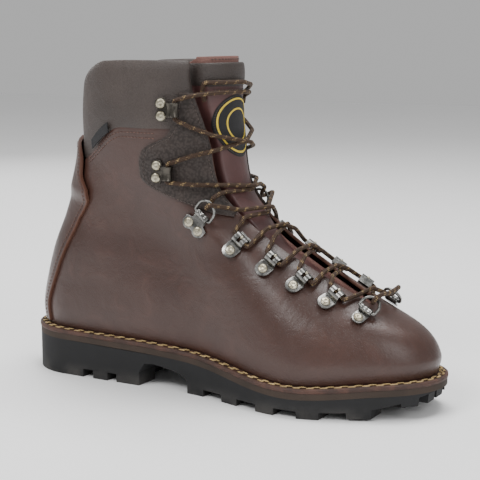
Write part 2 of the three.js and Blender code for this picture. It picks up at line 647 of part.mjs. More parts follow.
const LOOPS = [
  [[0.325, 0.475], [0.213, 0.547]],
  [[0.278, 0.425], [0.173, 0.486]],
  [[0.239, 0.379], [0.148, 0.425]],
  [[0.2, 0.329], [0.118, 0.366]],
];
const LIFT = seat + 0.9; // fittings are flat, the leather under them is round
const OVER_FACING = seat + OVERLAY;
for (const [side, name] of [[-1, "lateral"], [1, "medial"]]) {
  LOOPS.forEach(([from, to], i) => {
    const matrix = fittingMatrix(side, from, to, LIFT);
    add(`loop_${i + 1}_${name}`, loop(), "nickel", matrix);
    add(`loop_rivet_${i + 1}_${name}`, rivet(), "nickel", matrix);
  });
  const toe = fittingMatrix(side, [0.165, 0.272], [0.107, 0.302], LIFT);
  add(`toe_plate_${name}`, barrelPlate([0], 4.6, 8, 9), "nickel", toe);
  add(`toe_rivet_${name}`, rivet(), "nickel", toe);
  const toeAxis = localAt(toe, 8, 0, barrelRadius).multiply(new THREE.Matrix4().makeRotationY(-0.36));
  add(`toe_ring_${name}`, ring(6.4, 10.5), "nickel", toeAxis);
  const ankle = fittingMatrix(side, [0.379, 0.543], [0.311, 0.6], LIFT + 0.4);
  add(`ankle_plate_${name}`, barrelPlate([-4.7, 4.7], 4.8, 10.4, 10.4), "nickel", ankle);
  const ankleAxis = localAt(ankle, 10.4, 0, barrelRadius).multiply(new THREE.Matrix4().makeRotationY(-0.36));
  add(`ankle_ring_${name}`, ring(7.2, 13), "nickel", ankleAxis);
  const lower = fittingMatrix(side, [0.408, 0.721], [0.3, 0.729], OVER_FACING + LIFT);
  const upper = fittingMatrix(side, [0.357, 0.883], [0.262, 0.887], OVER_FACING + LIFT);
  add(`hook_lower_${name}`, hook(), "bronze", lower);
  add(`hook_upper_${name}`, hook(), "bronze", upper);
  const pairs = [["ankle", ankle, 4.7], ["hook_lower", lower, 4.3], ["hook_upper", upper, 4.3]];
  for (const [fitting, matrix, half] of pairs) {
    add(`${fitting}_rivet_a_${name}`, rivet(), "nickel", localAt(matrix, 0, -half, 0));
    add(`${fitting}_rivet_b_${name}`, rivet(), "nickel", localAt(matrix, 0, half, 0));
  }
}

// ---- lace: one cord from the outer collar's edge down through every fitting and up again ------------------
// each row is one fitting and the crossing to the next
const LACE_ROUTE = [
  [111, -26, 206], [110.2, -28, 213], [111.5, -28.5, 219.3], [118, -23, 219.5], [127.5, 0, 219.5],
  [119, 24.5, 217], [109, 37, 213],
  [97.5, 44, 207.5], [97, 43, 194.5], [106, 38.5, 190], [118.5, 27.5, 184], [129, 1, 178.5],
  [120, -27, 173], [108, -38, 169.5],
  [91, -43.5, 163.5], [90, -43.5, 150.5], [110, -38, 149.5], [123.5, -24.5, 149], [136.5, 0, 147],
  [125, 28.5, 145],
  [124, 37, 141.5], [121.5, 36, 137.5], [120.5, 39, 134.5], [121.5, 44.5, 135], [126.5, 44.5, 137.5],
  [136, 21.5, 132], [147, 1, 128.5], [140.5, -21, 127.5],
  [137, -31, 117.5], [148.4, -31.8, 108.2], [153.5, -14.5, 119.3], [158, 2, 121], [160.5, 16, 116],
  [160.5, 30.5, 105.5], [172, 32, 98], [177, 14.5, 104], [181.5, -10, 102],
  [183, -23, 95], [195, -24.5, 86], [196.5, -9.5, 92.5], [199, 4, 95], [201.5, 16, 91],
  [204.5, 27, 84.5], [216.5, 29, 77], [221, 16.5, 78], [226, 5, 77], [231.5, -3, 77],
  [232, -8, 74.5], [233.5, -12.5, 75], [236.5, -14, 79], [238.5, -9, 80.5],
  [239, 5, 79.5],
  [238.5, 20, 80.5], [236, 25.5, 79.5], [233.5, 23.5, 75.5], [232, 19, 74.5], [231.5, 13.5, 77],
  [226, 4.5, 81.5], [221, -6, 78.5],
  [216.5, -20.5, 76.5], [205, -18.5, 84.5], [202, -8, 90], [198.5, 16.5, 91],
  [194, 31, 87], [182.5, 29, 95], [181.5, 16, 102], [179.5, 3, 108], [176, -11, 105.5],
  [172.2, -28.3, 97.2], [160.5, -27, 105.5], [160.5, -14, 115.5], [154, 16.5, 119.3],
  [148.4, 33.4, 108.6], [137, 32, 117.5], [141, 22.5, 125], [150, 1, 133], [136.5, -21, 132],
  [126, -45.5, 137.5], [122.5, -44.5, 135], [121, -39.5, 134.5], [122, -36, 137.5], [124, -36.5, 141.5],
  [125, -26.5, 144], [134.4, 0, 144.5], [123.5, 25.5, 149.5], [110, 38, 149.5],
  [90, 42, 150.5], [91, 42.5, 163.5], [108, 37.5, 169.5], [120, 26.5, 173], [133.2, 0, 177.5],
  [118, -28, 183.5], [106, -38.5, 189.5],
  [97, -43.5, 194.5], [97.5, -44, 207.5], [109, -37, 211], [119, -24.5, 212.5], [127.5, 0, 212.5],
  [119, 22.5, 211.5], [111.5, 27.5, 208.5], [111.4, 26.4, 203],
].map(point => new THREE.Vector3(...point));
// a path that keeps every point of its list as a step of the swept tube
class Route extends THREE.Curve {
  constructor(points) {
    super();
    this.points = points;
  }

  getPoint(t) {
    const place = t * (this.points.length - 1);
    const i = Math.min(Math.floor(place), this.points.length - 2);
    return this.points[i].clone().lerp(this.points[i + 1], place - i);
  }

  getTangentAt(t) {
    const i = Math.round(t * (this.points.length - 1));
    const before = this.points[Math.max(i - 1, 0)];
    const after = this.points[Math.min(i + 1, this.points.length - 1)];
    return after.clone().sub(before).normalize();
  }

  getSpacedPoints() {
    return this.points;
  }
}
function lace() {
  const section = new THREE.Shape();
  for (let i = 0; i < 8; i += 1) {
    const angle = (2 * Math.PI * i) / 8;
    const corner = [(LACE / 2) * Math.cos(angle), (LACE / 2) * Math.sin(angle)];
    if (i === 0) section.moveTo(...corner);
    else section.lineTo(...corner);
  }
  const steps = LACE_ROUTE.length - 1;
  const options = { steps, bevelEnabled: false, extrudePath: new Route(LACE_ROUTE) };
  return geometryFrom(solidOf(new THREE.ExtrudeGeometry(section, options)));
}
add("lace", lace(), "lace");

export default boot;
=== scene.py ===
import math

import bmesh
import bpy
import numpy as np
from bpy.props import FloatProperty, FloatVectorProperty, PointerProperty
from bpy.types import Operator, Panel, PropertyGroup
from mathutils import Matrix, Vector


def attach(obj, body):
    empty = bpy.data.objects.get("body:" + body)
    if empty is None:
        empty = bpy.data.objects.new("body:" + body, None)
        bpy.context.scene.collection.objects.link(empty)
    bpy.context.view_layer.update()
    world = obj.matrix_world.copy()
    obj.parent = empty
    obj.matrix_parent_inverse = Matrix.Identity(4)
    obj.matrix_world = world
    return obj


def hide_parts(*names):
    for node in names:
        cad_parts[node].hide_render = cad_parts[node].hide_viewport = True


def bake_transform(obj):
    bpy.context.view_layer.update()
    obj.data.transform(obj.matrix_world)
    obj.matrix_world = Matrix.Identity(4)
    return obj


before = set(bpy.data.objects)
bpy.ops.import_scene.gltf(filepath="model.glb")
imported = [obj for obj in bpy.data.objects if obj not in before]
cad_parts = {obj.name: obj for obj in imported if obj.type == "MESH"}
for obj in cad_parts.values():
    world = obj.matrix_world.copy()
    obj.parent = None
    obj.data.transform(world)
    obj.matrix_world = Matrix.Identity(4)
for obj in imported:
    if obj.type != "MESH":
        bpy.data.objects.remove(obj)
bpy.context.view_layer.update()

bl_info = {
    "name": "Mountaineering Boot",
    "version": (1, 0, 0),
    "blender": (4, 5, 0),
    "location": "View3D > Sidebar > Boot",
    "description": "Makes the leathers, sole, stitching, fittings and lace of a mountaineering boot",
    "category": "Mesh",
}

# ---- the last: one smooth surface that the upper, its overlays and its fittings lie on -----------
MM = 0.001
LEATHER = 2.4  # thicknesses and reaches of the boot's pieces, in millimetres like the last's rings
LINING = 2.6
OVERLAY = 1.7
SEAT = 0.7
GAP = 0.3
WELT = 3.2
MIDSOLE = 3.8
OVER_FACING = SEAT + OVERLAY  # the facings' and backstay's outer face
WELT_REACH = 6.5
TREAD_DEPTH = 6.0
HEEL_FRONT = 62.0
SHEET_METAL = 1.1
COLLAR_HEIGHT = 235.0
LINING_OUT = -(LEATHER + 3.2)  # the lining's outer face, under the leather and the stiffeners
SIDES = ((-1, "lateral"), (1, "medial"))
# level, back x, back z, front x, front z, half widths at heel, waist, ball and toe, cap lengths
RINGS = np.array([
    [0.0, -42, 35, 271, 27, 33, 32, 51, 38, 36, 52],
    [0.08, -43, 50, 273, 39, 35, 34, 52, 40, 38, 54],
    [0.2, -38.5, 73, 262, 55, 35, 34, 48, 38, 40, 54],
    [0.32, -31.5, 96, 232, 72, 35, 32, 42, 36, 42, 56],
    [0.44, -22, 118, 196, 92, 34, 31, 36, 34, 44, 56],
    [0.56, -14, 140, 160, 114, 35, 33, 35, 34, 46, 56],
    [0.7, -7, 168, 132, 142, 37, 38, 38, 38, 50, 58],
    [0.84, -6, 198, 123, 186, 41, 43, 43, 42, 54, 56],
    [1.0, -4, 228, 121.5, 232, 43, 45, 45, 44, 56, 54],
])


def track(column):
    """A smooth curve through one column of the rings, by level."""
    levels, values = RINGS[:, 0], RINGS[:, column]
    count = len(levels)
    slopes = np.array([
        (values[min(i + 1, count - 1)] - values[max(i - 1, 0)])
        / (levels[min(i + 1, count - 1)] - levels[max(i - 1, 0)])
        for i in range(count)
    ])

    def at(v):
        i = np.clip(np.searchsorted(levels, v) - 1, 0, count - 2)
        h = levels[i + 1] - levels[i]
        t = (v - levels[i]) / h
        return (
            (2 * t**3 - 3 * t**2 + 1) * values[i]
            + (t**3 - 2 * t**2 + t) * h * slopes[i]
            + (3 * t**2 - 2 * t**3) * values[i + 1]
            + (t**3 - t**2) * h * slopes[i + 1]
        )

    return at


X_BACK, Z_BACK, X_FRONT, Z_FRONT, HEEL, WAIST, BALL, TOE, CAP_BACK, CAP_FRONT = [
    track(column) for column in range(1, 11)
]


def lerp(a, b, t):
    return a + (b - a) * t


def smooth(t):
    t = np.clip(t, 0, 1)
    return t * t * (3 - 2 * t)


def half_width(v, s):
    w = lerp(HEEL(v), WAIST(v), smooth((s - 0.16) / 0.29))
    w = np.where(s > 0.45, lerp(WAIST(v), BALL(v), smooth((s - 0.45) / 0.29)), w)
    return np.where(s > 0.74, lerp(BALL(v), TOE(v), smooth((s - 0.74) / 0.18)), w)


def centre_line(x):
    return 9 * (np.maximum(x - 90, 0) / 190) ** 1.5


def ball_dip(x):
    return -9 * np.exp(-(((x - 185) / 62) ** 2))


def round_cap(distance, radius):
    return np.sqrt(np.clip(1 - np.clip(1 - distance / radius, 0, None) ** 2, 0, 1))


def last(u, v):
    """Points of the last in millimetres: u from -1 (back) round the outer side to 0 (front), on to 1."""
    u, v = np.broadcast_arrays(np.asarray(u, float), np.asarray(v, float))
    s = (1 - np.cos(np.pi * (1 - np.abs(u)))) / 2
    x = lerp(X_BACK(v), X_FRONT(v), s)
    side = np.where(u < 0, -1, 1)
    arch = np.where(u > 0, 0.14 * np.exp(-(((x - 100) / 50) ** 2)) * np.clip(1 - v, 0, 1), 0)
    caps = round_cap(x - X_BACK(v), CAP_BACK(v)) * round_cap(X_FRONT(v) - x, CAP_FRONT(v))
    w = half_width(v, s) * (1 - arch) * caps
    z = lerp(Z_BACK(v), Z_FRONT(v), s**1.25) + ball_dip(x) * np.clip(1 - v, 0, 1) ** 3
    return np.stack([x, centre_line(x) + side * w, z], axis=-1)


def wrap(u):
    return np.where(u > 1, u - 2, np.where(u < -1, u + 2, u))


def unit(vectors):
    return vectors / np.maximum(np.linalg.norm(vectors, axis=-1, keepdims=True), 1e-12)


def last_normal(u, v):
    e = 0.004
    du = last(wrap(u + e), v) - last(wrap(u - e), v)
    dv = last(u, v + e) - last(u, v - e)
    return unit(np.cross(du, dv))


def off_last(u, v, offset):
    """Points that stand off the last along its normals."""
    u, v, offset = np.broadcast_arrays(*(np.asarray(value, float) for value in (u, v, offset)))
    u = wrap(u)
    return last(u, v) + last_normal(u, v) * offset[..., None]


def solve(low, high, too_low):
    for _ in range(32):
        middle = (low + high) / 2
        below = too_low(middle)
        low = np.where(below, middle, low)
        high = np.where(below, high, middle)
    return (low + high) / 2


STEPS = np.linspace(-1, 1, 401)
LEVELS = np.linspace(-0.05, 1.1, 401)
THROAT_START = 0.335
THROAT_END = 0.955  # the opening keeps its width above this level
THROAT_LEVELS = [THROAT_START, 0.37, 0.42, 0.5, 0.6, 0.7, 0.8, 0.86, 0.92, 1]
THROAT_SHARES = [0, 0.04, 0.13, 0.25, 0.37, 0.5, 0.56, 0.69, 0.85, 1]
THROAT_HALF = lerp(8, 34, np.interp(LEVELS, THROAT_LEVELS, THROAT_SHARES))


def span(u, v):
    p = last(u, v)
    return p[..., 1] - centre_line(p[..., 0])


THROAT_TABLE = solve(np.zeros(401), np.full(401, 0.5), lambda u: span(u, LEVELS) < THROAT_HALF)


def throat_u(v):
    return np.interp(v, LEVELS, THROAT_TABLE)


def level_table(height):
    """The level at which each ring step reaches a height, as a table over STEPS."""
    return solve(np.full(401, -0.05), np.full(401, 1.2), lambda v: last(STEPS, v)[..., 2] < height)


SEAM_TABLE = level_table(158 + 30 * smooth((last(STEPS, 0.65)[..., 0] + 8) / 66))
COLLAR_DIP = 10.0
COLLAR_SLOPE = smooth((last(STEPS, 0.97)[..., 0] + 6) / 40)
COLLAR_TABLE = level_table(COLLAR_HEIGHT - COLLAR_DIP * (1 - COLLAR_SLOPE))


def seam_level(u):
    return np.interp(wrap(u), STEPS, SEAM_TABLE)


def collar_level(u):
    return np.interp(wrap(u), STEPS, COLLAR_TABLE)


# ---- meshes --------------------------------------------------------------------------------------
def piece(name, mesh, body, finish, replaces=()):
    """Turns a bmesh into a finished piece that rides on a body and takes its finish from a slot."""
    data = bpy.data.meshes.new(name)
    mesh.to_mesh(data)
    mesh.free()
    for face in data.polygons:
        face.use_smooth = True
    obj = bpy.data.objects.new(name, data)
    bpy.context.scene.collection.objects.link(obj)
    data.materials.append(finish)
    if body:
        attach(obj, body)
    if replaces:
        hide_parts(*replaces)
    return obj


def modifier(obj, kind, **settings):
    made = obj.modifiers.new(kind.title(), kind)
    for key, value in settings.items():
        setattr(made, key, value)
    return made


def rounded(obj, width, segments=2, angle=40, harden=True):
    return modifier(obj, "BEVEL", width=width * MM, segments=segments, limit_method="ANGLE",
                    angle_limit=math.radians(angle), harden_normals=harden, profile=0.5)


def finer(obj):
    return modifier(obj, "SUBSURF", levels=1, render_levels=1)


def thicken(obj, thickness):
    return modifier(obj, "SOLIDIFY", thickness=thickness * MM, offset=-1, use_even_offset=False)


def grid(columns, rows, place, keep=None, uv=None, marks=None):
    """A sheet of quads; place(p, q) gives its points in millimetres for p and q from 0 to 1."""
    mesh = bmesh.new()
    bmesh.ops.create_grid(mesh, x_segments=columns, y_segments=rows, size=0.5)
    if keep:
        middles = np.array([face.calc_center_median()[:2] for face in mesh.faces]) + 0.5
        kept = keep(middles[:, 0], middles[:, 1])
        gone = [face for face, stays in zip(mesh.faces, kept) if not stays]
        bmesh.ops.delete(mesh, geom=gone, context="FACES")
    flat = np.array([vert.co[:2] for vert in mesh.verts]) + 0.5
    p, q = np.clip(flat[:, 0], 0, 1), np.clip(flat[:, 1], 0, 1)
    if uv:
        layer = mesh.loops.layers.uv.new("UVMap")
        pattern = np.stack(uv(p, q), axis=-1)
        mesh.verts.index_update()
        for face in mesh.faces:
            for loop in face.loops:
                loop[layer].uv = pattern[loop.vert.index]
    for name, value in (marks(p, q) if marks else {}).items():
        layer = mesh.verts.layers.float.new(name)
        for vert, mark in zip(mesh.verts, np.broadcast_to(value, p.shape)):
            vert[layer] = float(mark)
    for vert, point in zip(mesh.verts, place(p, q) * MM):
        vert.co = point
    return mesh


def merged(mesh, distance=0.02):
    bmesh.ops.remove_doubles(mesh, verts=mesh.verts, dist=distance * MM)
    return mesh


def outward(mesh):
    bmesh.ops.recalc_face_normals(mesh, faces=mesh.faces)
    if mesh.calc_volume(signed=True) < 0:
        bmesh.ops.reverse_faces(mesh, faces=mesh.faces)
    return mesh


def tube(points, radius, sides, closed=False, relief=None, per_turn=12.0):
    """A round wire or cord along points in millimetres; relief(angle, distance) scales its radius."""
    points = np.asarray(points, float)
    count = len(points)
    ahead = np.roll(points, -1, axis=0) if closed else np.vstack([points[1:], points[-1:]])
    behind = np.roll(points, 1, axis=0) if closed else np.vstack([points[:1], points[:-1]])
    tangents = unit(ahead - behind)
    distance = np.concatenate([[0], np.cumsum(np.linalg.norm(np.diff(points, axis=0), axis=1))])
    normal = np.cross(tangents[0], [0.3, 0.2, 0.93])
    normals = np.empty_like(points)
    for i in range(count):
        normal = unit(normal - tangents[i] * np.dot(normal, tangents[i]))
        normals[i] = normal
    if closed:
        side = np.cross(tangents[0], normals[0])
        twist = math.atan2(np.dot(normals[-1], side), np.dot(normals[-1], normals[0]))
    else:
        twist = 0.0
    binormals = np.cross(tangents, normals)
    rings = count if closed else count - 1

    def place(p, q):
        index = np.rint(q * rings).astype(int)
        angle = 2 * np.pi * p - twist * q
        index = index % count
        size = radius * (relief(2 * np.pi * p, distance[index]) if relief else np.ones_like(p))
        if not closed:
            size = np.where((index == 0) | (index == count - 1), 0, size)
        direction = normals[index] * np.cos(angle)[:, None] + binormals[index] * np.sin(angle)[:, None]
        return points[index] + direction * size[:, None]

    def pattern(p, q):
        return p, distance[np.rint(q * rings).astype(int) % count] / per_turn

    return outward(merged(grid(sides, rings, place, uv=pattern), 0.001))


def curve_points(points, per_span, closed=False):
    """A Catmull-Rom curve through points, with per_span steps for each of them."""
    points = np.asarray(points, float)
    count = len(points)
    spans = count if closed else count - 1
    out = []
    for i in range(spans):
        steps = np.arange(i - 1, i + 3)
        a, b, c, d = points[steps % count if closed else np.clip(steps, 0, count - 1)]
        for t in np.arange(per_span) / per_span:
            square, cube = (2 * a - 5 * b + 4 * c - d) * t**2, (3 * b - a - 3 * c + d) * t**3
            out.append(0.5 * (2 * b + (c - a) * t + square + cube))
    if not closed:
        out.append(points[-1])
    return np.array(out)


def spaced(points, step):
    """Points a step apart along a polyline, and their share along it."""
    distance = np.concatenate([[0], np.cumsum(np.linalg.norm(np.diff(points, axis=0), axis=1))])
    count = max(2, int(round(distance[-1] / step)) + 1)
    where = np.linspace(0, distance[-1], count)
    return np.stack([np.interp(where, distance, points[:, k]) for k in range(3)], axis=-1), where


TURN_TO_X = Matrix.Rotation(math.pi / 2, 4, "Y")
EDGE_SEAM = (2.9, 2.1, 0.75)  # pitch, length and thickness of a seam's stitches
UPPER_SEAM = (2.9, 2.1, 0.7)
BACKSTAY_SEAM = (3.0, 2.3, 0.62)
BADGE_SEAM = (1.8, 1.3, 0.4)


def stitches(mesh, line, normals, pitch, length, thickness, lean=0.0, shift=0.0):
    """Adds one small stitch for each pitch along a line of points in millimetres."""
    points, where = spaced(line, pitch)
    distance = np.concatenate([[0], np.cumsum(np.linalg.norm(np.diff(line, axis=0), axis=1))])
    ups = unit(np.stack([np.interp(where, distance, normals[:, k]) for k in range(3)], axis=-1))
    for i in range(len(points) - 1):
        along = unit(points[i + 1] - points[i])
        across = unit(np.cross(ups[i], along))
        up = np.cross(along, across)
        long_axis = along * math.cos(lean) + across * math.sin(lean)
        wide_axis = np.cross(up, long_axis)
        middle = (points[i] + points[i + 1]) / 2 + across * shift
        basis = np.eye(4)
        basis[:3, 0] = long_axis * length / 2
        basis[:3, 1] = wide_axis * thickness / 2
        basis[:3, 2] = up * thickness * 0.42
        basis[:3, 3] = middle
        basis[:3, :] *= MM
        bmesh.ops.create_uvsphere(mesh, u_segments=6, v_segments=5, radius=1.0,
                                  matrix=Matrix(basis.tolist()) @ TURN_TO_X)
    return mesh


def row_on_last(mesh, u, v, offset, seam):
    """A row of a seam's stitches along levels and steps of the last."""
    u, v = np.broadcast_arrays(np.asarray(u, float), np.asarray(v, float))
    stitches(mesh, off_last(u, v, offset), last_normal(wrap(u), v), *seam)


# ---- materials: numbers on a surface as Python expressions ---------------------------------------
class Value:
    """A node's output in a Python expression; each operator on it adds one Math node."""

    def __init__(self, finish, socket):
        self.finish = finish
        self.socket = socket

    def _with(self, operation, first, second):
        return self.finish.node("Math", {"operation": operation}, {0: first, 1: second})

    def __add__(self, other):
        return self._with("ADD", self, other)

    __radd__ = __add__

    def __sub__(self, other):
        return self._with("SUBTRACT", self, other)

    def __rsub__(self, other):
        return self._with("SUBTRACT", other, self)

    def __mul__(self, other):
        return self._with("MULTIPLY", self, other)

    __rmul__ = __mul__

    def over(self, edge, width):
        """0 below an edge and 1 above it, over a width."""
        return self.finish.node("MapRange", {"interpolation_type": "SMOOTHSTEP", "clamp": True},
                                {"Value": self, "From Min": edge - width / 2,
                                 "From Max": edge + width / 2})


class Finish:
    """A material under construction: its node tree and its one shader."""

    def __init__(self, name, **constants):
        self.material = bpy.data.materials.new(name)
        self.material.use_nodes = True
        self.tree = self.material.node_tree
        self.shader = self.tree.nodes["Principled BSDF"]
        for socket, value in constants.items():
            name = socket.replace("_", " ").title().replace("Ior", "IOR")
            self.shader.inputs[name].default_value = value
        self.place = self.node("TexCoord", {}, {}, "Object")

    def node(self, kind, settings, inputs, output=0):
        """Adds one node: its settings first, then the values or links of its inputs."""
        made = self.tree.nodes.new("ShaderNode" + kind)
        for key, value in settings.items():
            setattr(made, key, value)
        for key, value in inputs.items():
            if isinstance(value, Value):
                self.tree.links.new(value.socket, made.inputs[key])
            else:
                made.inputs[key].default_value = value
        return Value(self, made.outputs[output])

    def noise(self, scale, detail=3.0, roughness=0.5, distortion=0.0):
        return self.node("TexNoise", {}, {"Vector": self.place, "Scale": scale, "Detail": detail,
                                          "Roughness": roughness, "Distortion": distortion})

    def cells(self, scale, feature="F1"):
        return self.node("TexVoronoi", {"feature": feature}, {"Vector": self.place, "Scale": scale},
                         "Distance")

    def mix(self, factor, first, second):
        """Blends two colours; a factor of 0 gives the first."""
        made = self.tree.nodes.new("ShaderNodeMix")
        made.data_type = "RGBA"
        for index, value in ((0, factor), (6, first), (7, second)):
            if isinstance(value, Value):
                self.tree.links.new(value.socket, made.inputs[index])
            else:
                made.inputs[index].default_value = value if index == 0 else (*value[:3], 1)
        return Value(self, made.outputs[2])

    def mark(self, name):
        return self.node("Attribute", {"attribute_name": name}, {}, "Fac")

    def height(self):
        """The height above the ground."""
        return self.node("SeparateXYZ", {}, {"Vector": self.place}, "Z")

    def put(self, colour=None, roughness=None, bumps=()):
        """Links the colour, the roughness and a chain of bumps: pairs of a height and its depth in m."""
        if colour is not None:
            self.tree.links.new(colour.socket, self.shader.inputs["Base Color"])
        if roughness is not None:
            self.tree.links.new(roughness.socket, self.shader.inputs["Roughness"])
        normal = None
        for value, depth in bumps:
            inputs = {"Height": value, "Distance": depth, "Strength": 1.0}
            if normal:
                inputs["Normal"] = normal
            normal = self.node("Bump", {}, inputs)
        if normal:
            self.tree.links.new(normal.socket, self.shader.inputs["Normal"])
        return self.material


def linear(red, green, blue):
    """An sRGB colour of 0 to 255 as the linear one that shaders take."""
    shares = (value / 255 for value in (red, green, blue))
    return tuple(((c + 0.055) / 1.055) ** 2.4 if c > 0.04 else c / 12.92 for c in shares)


def darker(colour, share):
    return tuple(c * share for c in colour[:3])


def waxed_leather(name, colour, raw_edge=None, gloss=0.31):
    """Smooth pull-up leather: clouded colour, fine pores and a soft waxy sheen."""
    finish = Finish(name, coat_weight=0.12, coat_roughness=0.35, specular_ior_level=0.45)
    clouds = finish.noise(14, 4, 0.6)
    patches = finish.noise(55, 5, 0.65, distortion=0.6)
    tone = finish.mix(clouds.over(0.5, 0.5), darker(colour, 0.7), colour)
    tone = finish.mix(patches.over(0.62, 0.3) * 0.45, tone, darker(colour, 1.5))
    pores = finish.cells(950).over(0.28, 0.3)
    tone = finish.mix((1 - pores) * 0.22, tone, darker(colour, 0.5))
    rough = finish.noise(120, 4) * 0.22 + (gloss - 0.06)
    if raw_edge:
        edge = finish.mark("edge").over(0.62, 0.3)
        tone = finish.mix(edge * 0.85, tone, raw_edge)
        rough = rough + edge * 0.25
    fibres = finish.noise(1900, 2)
    return finish.put(tone, rough, [(patches, 0.0006), (pores, 0.00005), (fibres, 0.00005)])


def pebbled_leather(name, colour, scale=620, depth=0.00022, gloss=0.5):
    """Grained leather: rounded pebbles with darker valleys and scuffed tops."""
    finish = Finish(name, specular_ior_level=0.4)
    warp = finish.noise(90, 2)
    pebbles = finish.cells(scale, "SMOOTH_F1")
    small = finish.cells(scale * 2.1)
    valleys = pebbles.over(0.42, 0.4)
    tone = finish.mix(valleys * 0.6, colour, darker(colour, 0.35))
    tone = finish.mix(warp.over(0.6, 0.3) * 0.35, tone, darker(colour, 1.6))
    edge = finish.mark("edge").over(0.7, 0.3)
    tone = finish.mix(edge * 0.4, tone, darker(colour, 1.9))
    rough = valleys * 0.25 + (gloss - 0.08) + warp * 0.12
    return finish.put(tone, rough, [(1 - pebbles, depth), (1 - small, depth * 0.3), (warp, 0.0005)])


def soft_leather(name, colour, gloss=0.55, wrinkles=0.0009):
    """Thin garment leather over foam: fine grain and soft wrinkles."""
    finish = Finish(name, specular_ior_level=0.42)
    grain = finish.cells(1150)
    folds = finish.noise(48, 3, 0.5, distortion=1.2)
    clouds = finish.noise(24, 3)
    tone = finish.mix(clouds.over(0.5, 0.4), darker(colour, 0.8), darker(colour, 1.15))
    tone = finish.mix(grain.over(0.5, 0.4) * 0.4, tone, darker(colour, 0.5))
    return finish.put(tone, clouds * 0.2 + (gloss - 0.1), [(folds, wrinkles), (1 - grain, 0.00022)])


def welt_leather(colour):
    """Heavy welt leather, its cut edge in layers and lighter fibres."""
    finish = Finish("welt_leather")
    height = finish.height()
    fibres = finish.noise(700, 4)
    blotches = finish.noise(90, 4, 0.6)
    layers = finish.node("Math", {"operation": "SINE"}, {0: (height + blotches * 0.0012) * 5200})
    tone = finish.mix(blotches.over(0.52, 0.3), darker(colour, 0.55), darker(colour, 1.25))
    tone = finish.mix(layers.over(0.4, 0.8) * 0.35, tone, darker(colour, 0.5))
    tone = finish.mix(fibres.over(0.64, 0.1) * 0.3, tone, darker(colour, 2.0))
    return finish.put(tone, fibres * 0.3 + 0.5, [(fibres, 0.00025), (layers, 0.00008)])


def moulded_rubber(name, colour, dust, gloss=0.62):
    """Moulded rubber: dull, finely speckled, rubbed paler low down."""
    finish = Finish(name, specular_ior_level=0.35)
    height = finish.height()
    speckle = finish.noise(1500, 2)
    clouds = finish.noise(45, 4)
    low = (1 - height.over(0.006, 0.012)) * clouds.over(0.5, 0.3)
    tone = finish.mix(clouds.over(0.5, 0.5), darker(colour, 0.75), darker(colour, 1.2))
    tone = finish.mix(low * 0.35, tone, dust)
    tone = finish.mix(speckle.over(0.7, 0.08) * 0.25, tone, darker(colour, 1.8))
    return finish.put(tone, clouds * 0.2 + gloss, [(speckle, 0.0001), (clouds, 0.0004)])


def thread(name, colour, dark):
    """Waxed thread: twisted strands that catch the light."""
    finish = Finish(name, specular_ior_level=0.4)
    strands = finish.node("TexWave", {"wave_type": "BANDS", "bands_direction": "DIAGONAL"},
                          {"Vector": finish.place, "Scale": 620, "Distortion": 3.0, "Detail": 2.0})
    twist = Value(finish, strands.socket.node.outputs["Fac"])
    tint = finish.noise(160, 2)
    tone = finish.mix(twist, darker(dark, 1.0), colour)
    tone = finish.mix(tint.over(0.55, 0.3) * 0.35, tone, darker(colour, 1.35))
    return finish.put(tone, tint * 0.2 + 0.5, [(twist, 0.00012)])


def metal(name, colour, gloss, wear, tarnish):
    """Plated metal: satin, faintly scratched, tarnished in patches."""
    finish = Finish(name, metallic=1.0)
    scratches = finish.noise(2600, 3, 0.7)
    patches = finish.noise(210, 4, 0.6)
    tone = finish.mix(patches.over(0.55, 0.35), colour, tarnish)
    tone = finish.mix(scratches.over(0.66, 0.1) * 0.4, tone, wear)
    rough = patches * 0.22 + scratches * 0.12 + (gloss - 0.12)
    return finish.put(tone, rough, [(scratches, 0.00002), (patches, 0.0001)])


def braid(colour, fleck):
    """Round braided cord: plaited strands with a golden tracer in some of them."""
    finish = Finish("lace_cord", specular_ior_level=0.35)
    pattern = finish.node("UVMap", {}, {})
    turn = finish.node("SeparateXYZ", {}, {"Vector": pattern}, "X")
    along = finish.node("SeparateXYZ", {}, {"Vector": pattern}, "Y")
    one = finish.node("Math", {"operation": "SINE"}, {0: turn * 25.133 + along * 37.7})
    other = finish.node("Math", {"operation": "SINE"}, {0: turn * 25.133 - along * 37.7})
    weave = one * other
    tracer = finish.node("Math", {"operation": "SINE"}, {0: turn * 6.2832 + along * 9.42})
    patchy = finish.noise(420, 2)
    tone = finish.mix(weave.over(0, 1.4), darker(colour, 0.35), colour)
    flecks = tracer.over(0.5, 0.4) * weave.over(0.15, 0.4) * patchy.over(0.5, 0.15)
    tone = finish.mix(flecks, tone, fleck)
    return finish.put(tone, patchy * 0.2 + 0.6, [(weave, 0.00018), (finish.noise(2500, 2), 0.00006)])


def woven_badge(cloth, ring):
    """Woven label: black cloth with two raised rings of yellow thread, told apart by a mark."""
    finish = Finish("badge_fabric")
    rings = finish.mark("rings").over(0.5, 0.3)
    weave = finish.node("TexWave", {"wave_type": "BANDS", "bands_direction": "Z"},
                        {"Vector": finish.place, "Scale": 900, "Distortion": 1.0})
    ribs = Value(finish, weave.socket.node.outputs["Fac"])
    tint = finish.noise(300, 2)
    tone = finish.mix(ribs * 0.6 + tint * 0.3, darker(cloth, 0.6), darker(cloth, 1.7))
    tone = finish.mix(rings, tone, ring)
    return finish.put(tone, tint * 0.2 + 0.62, [(ribs, 0.0001)])


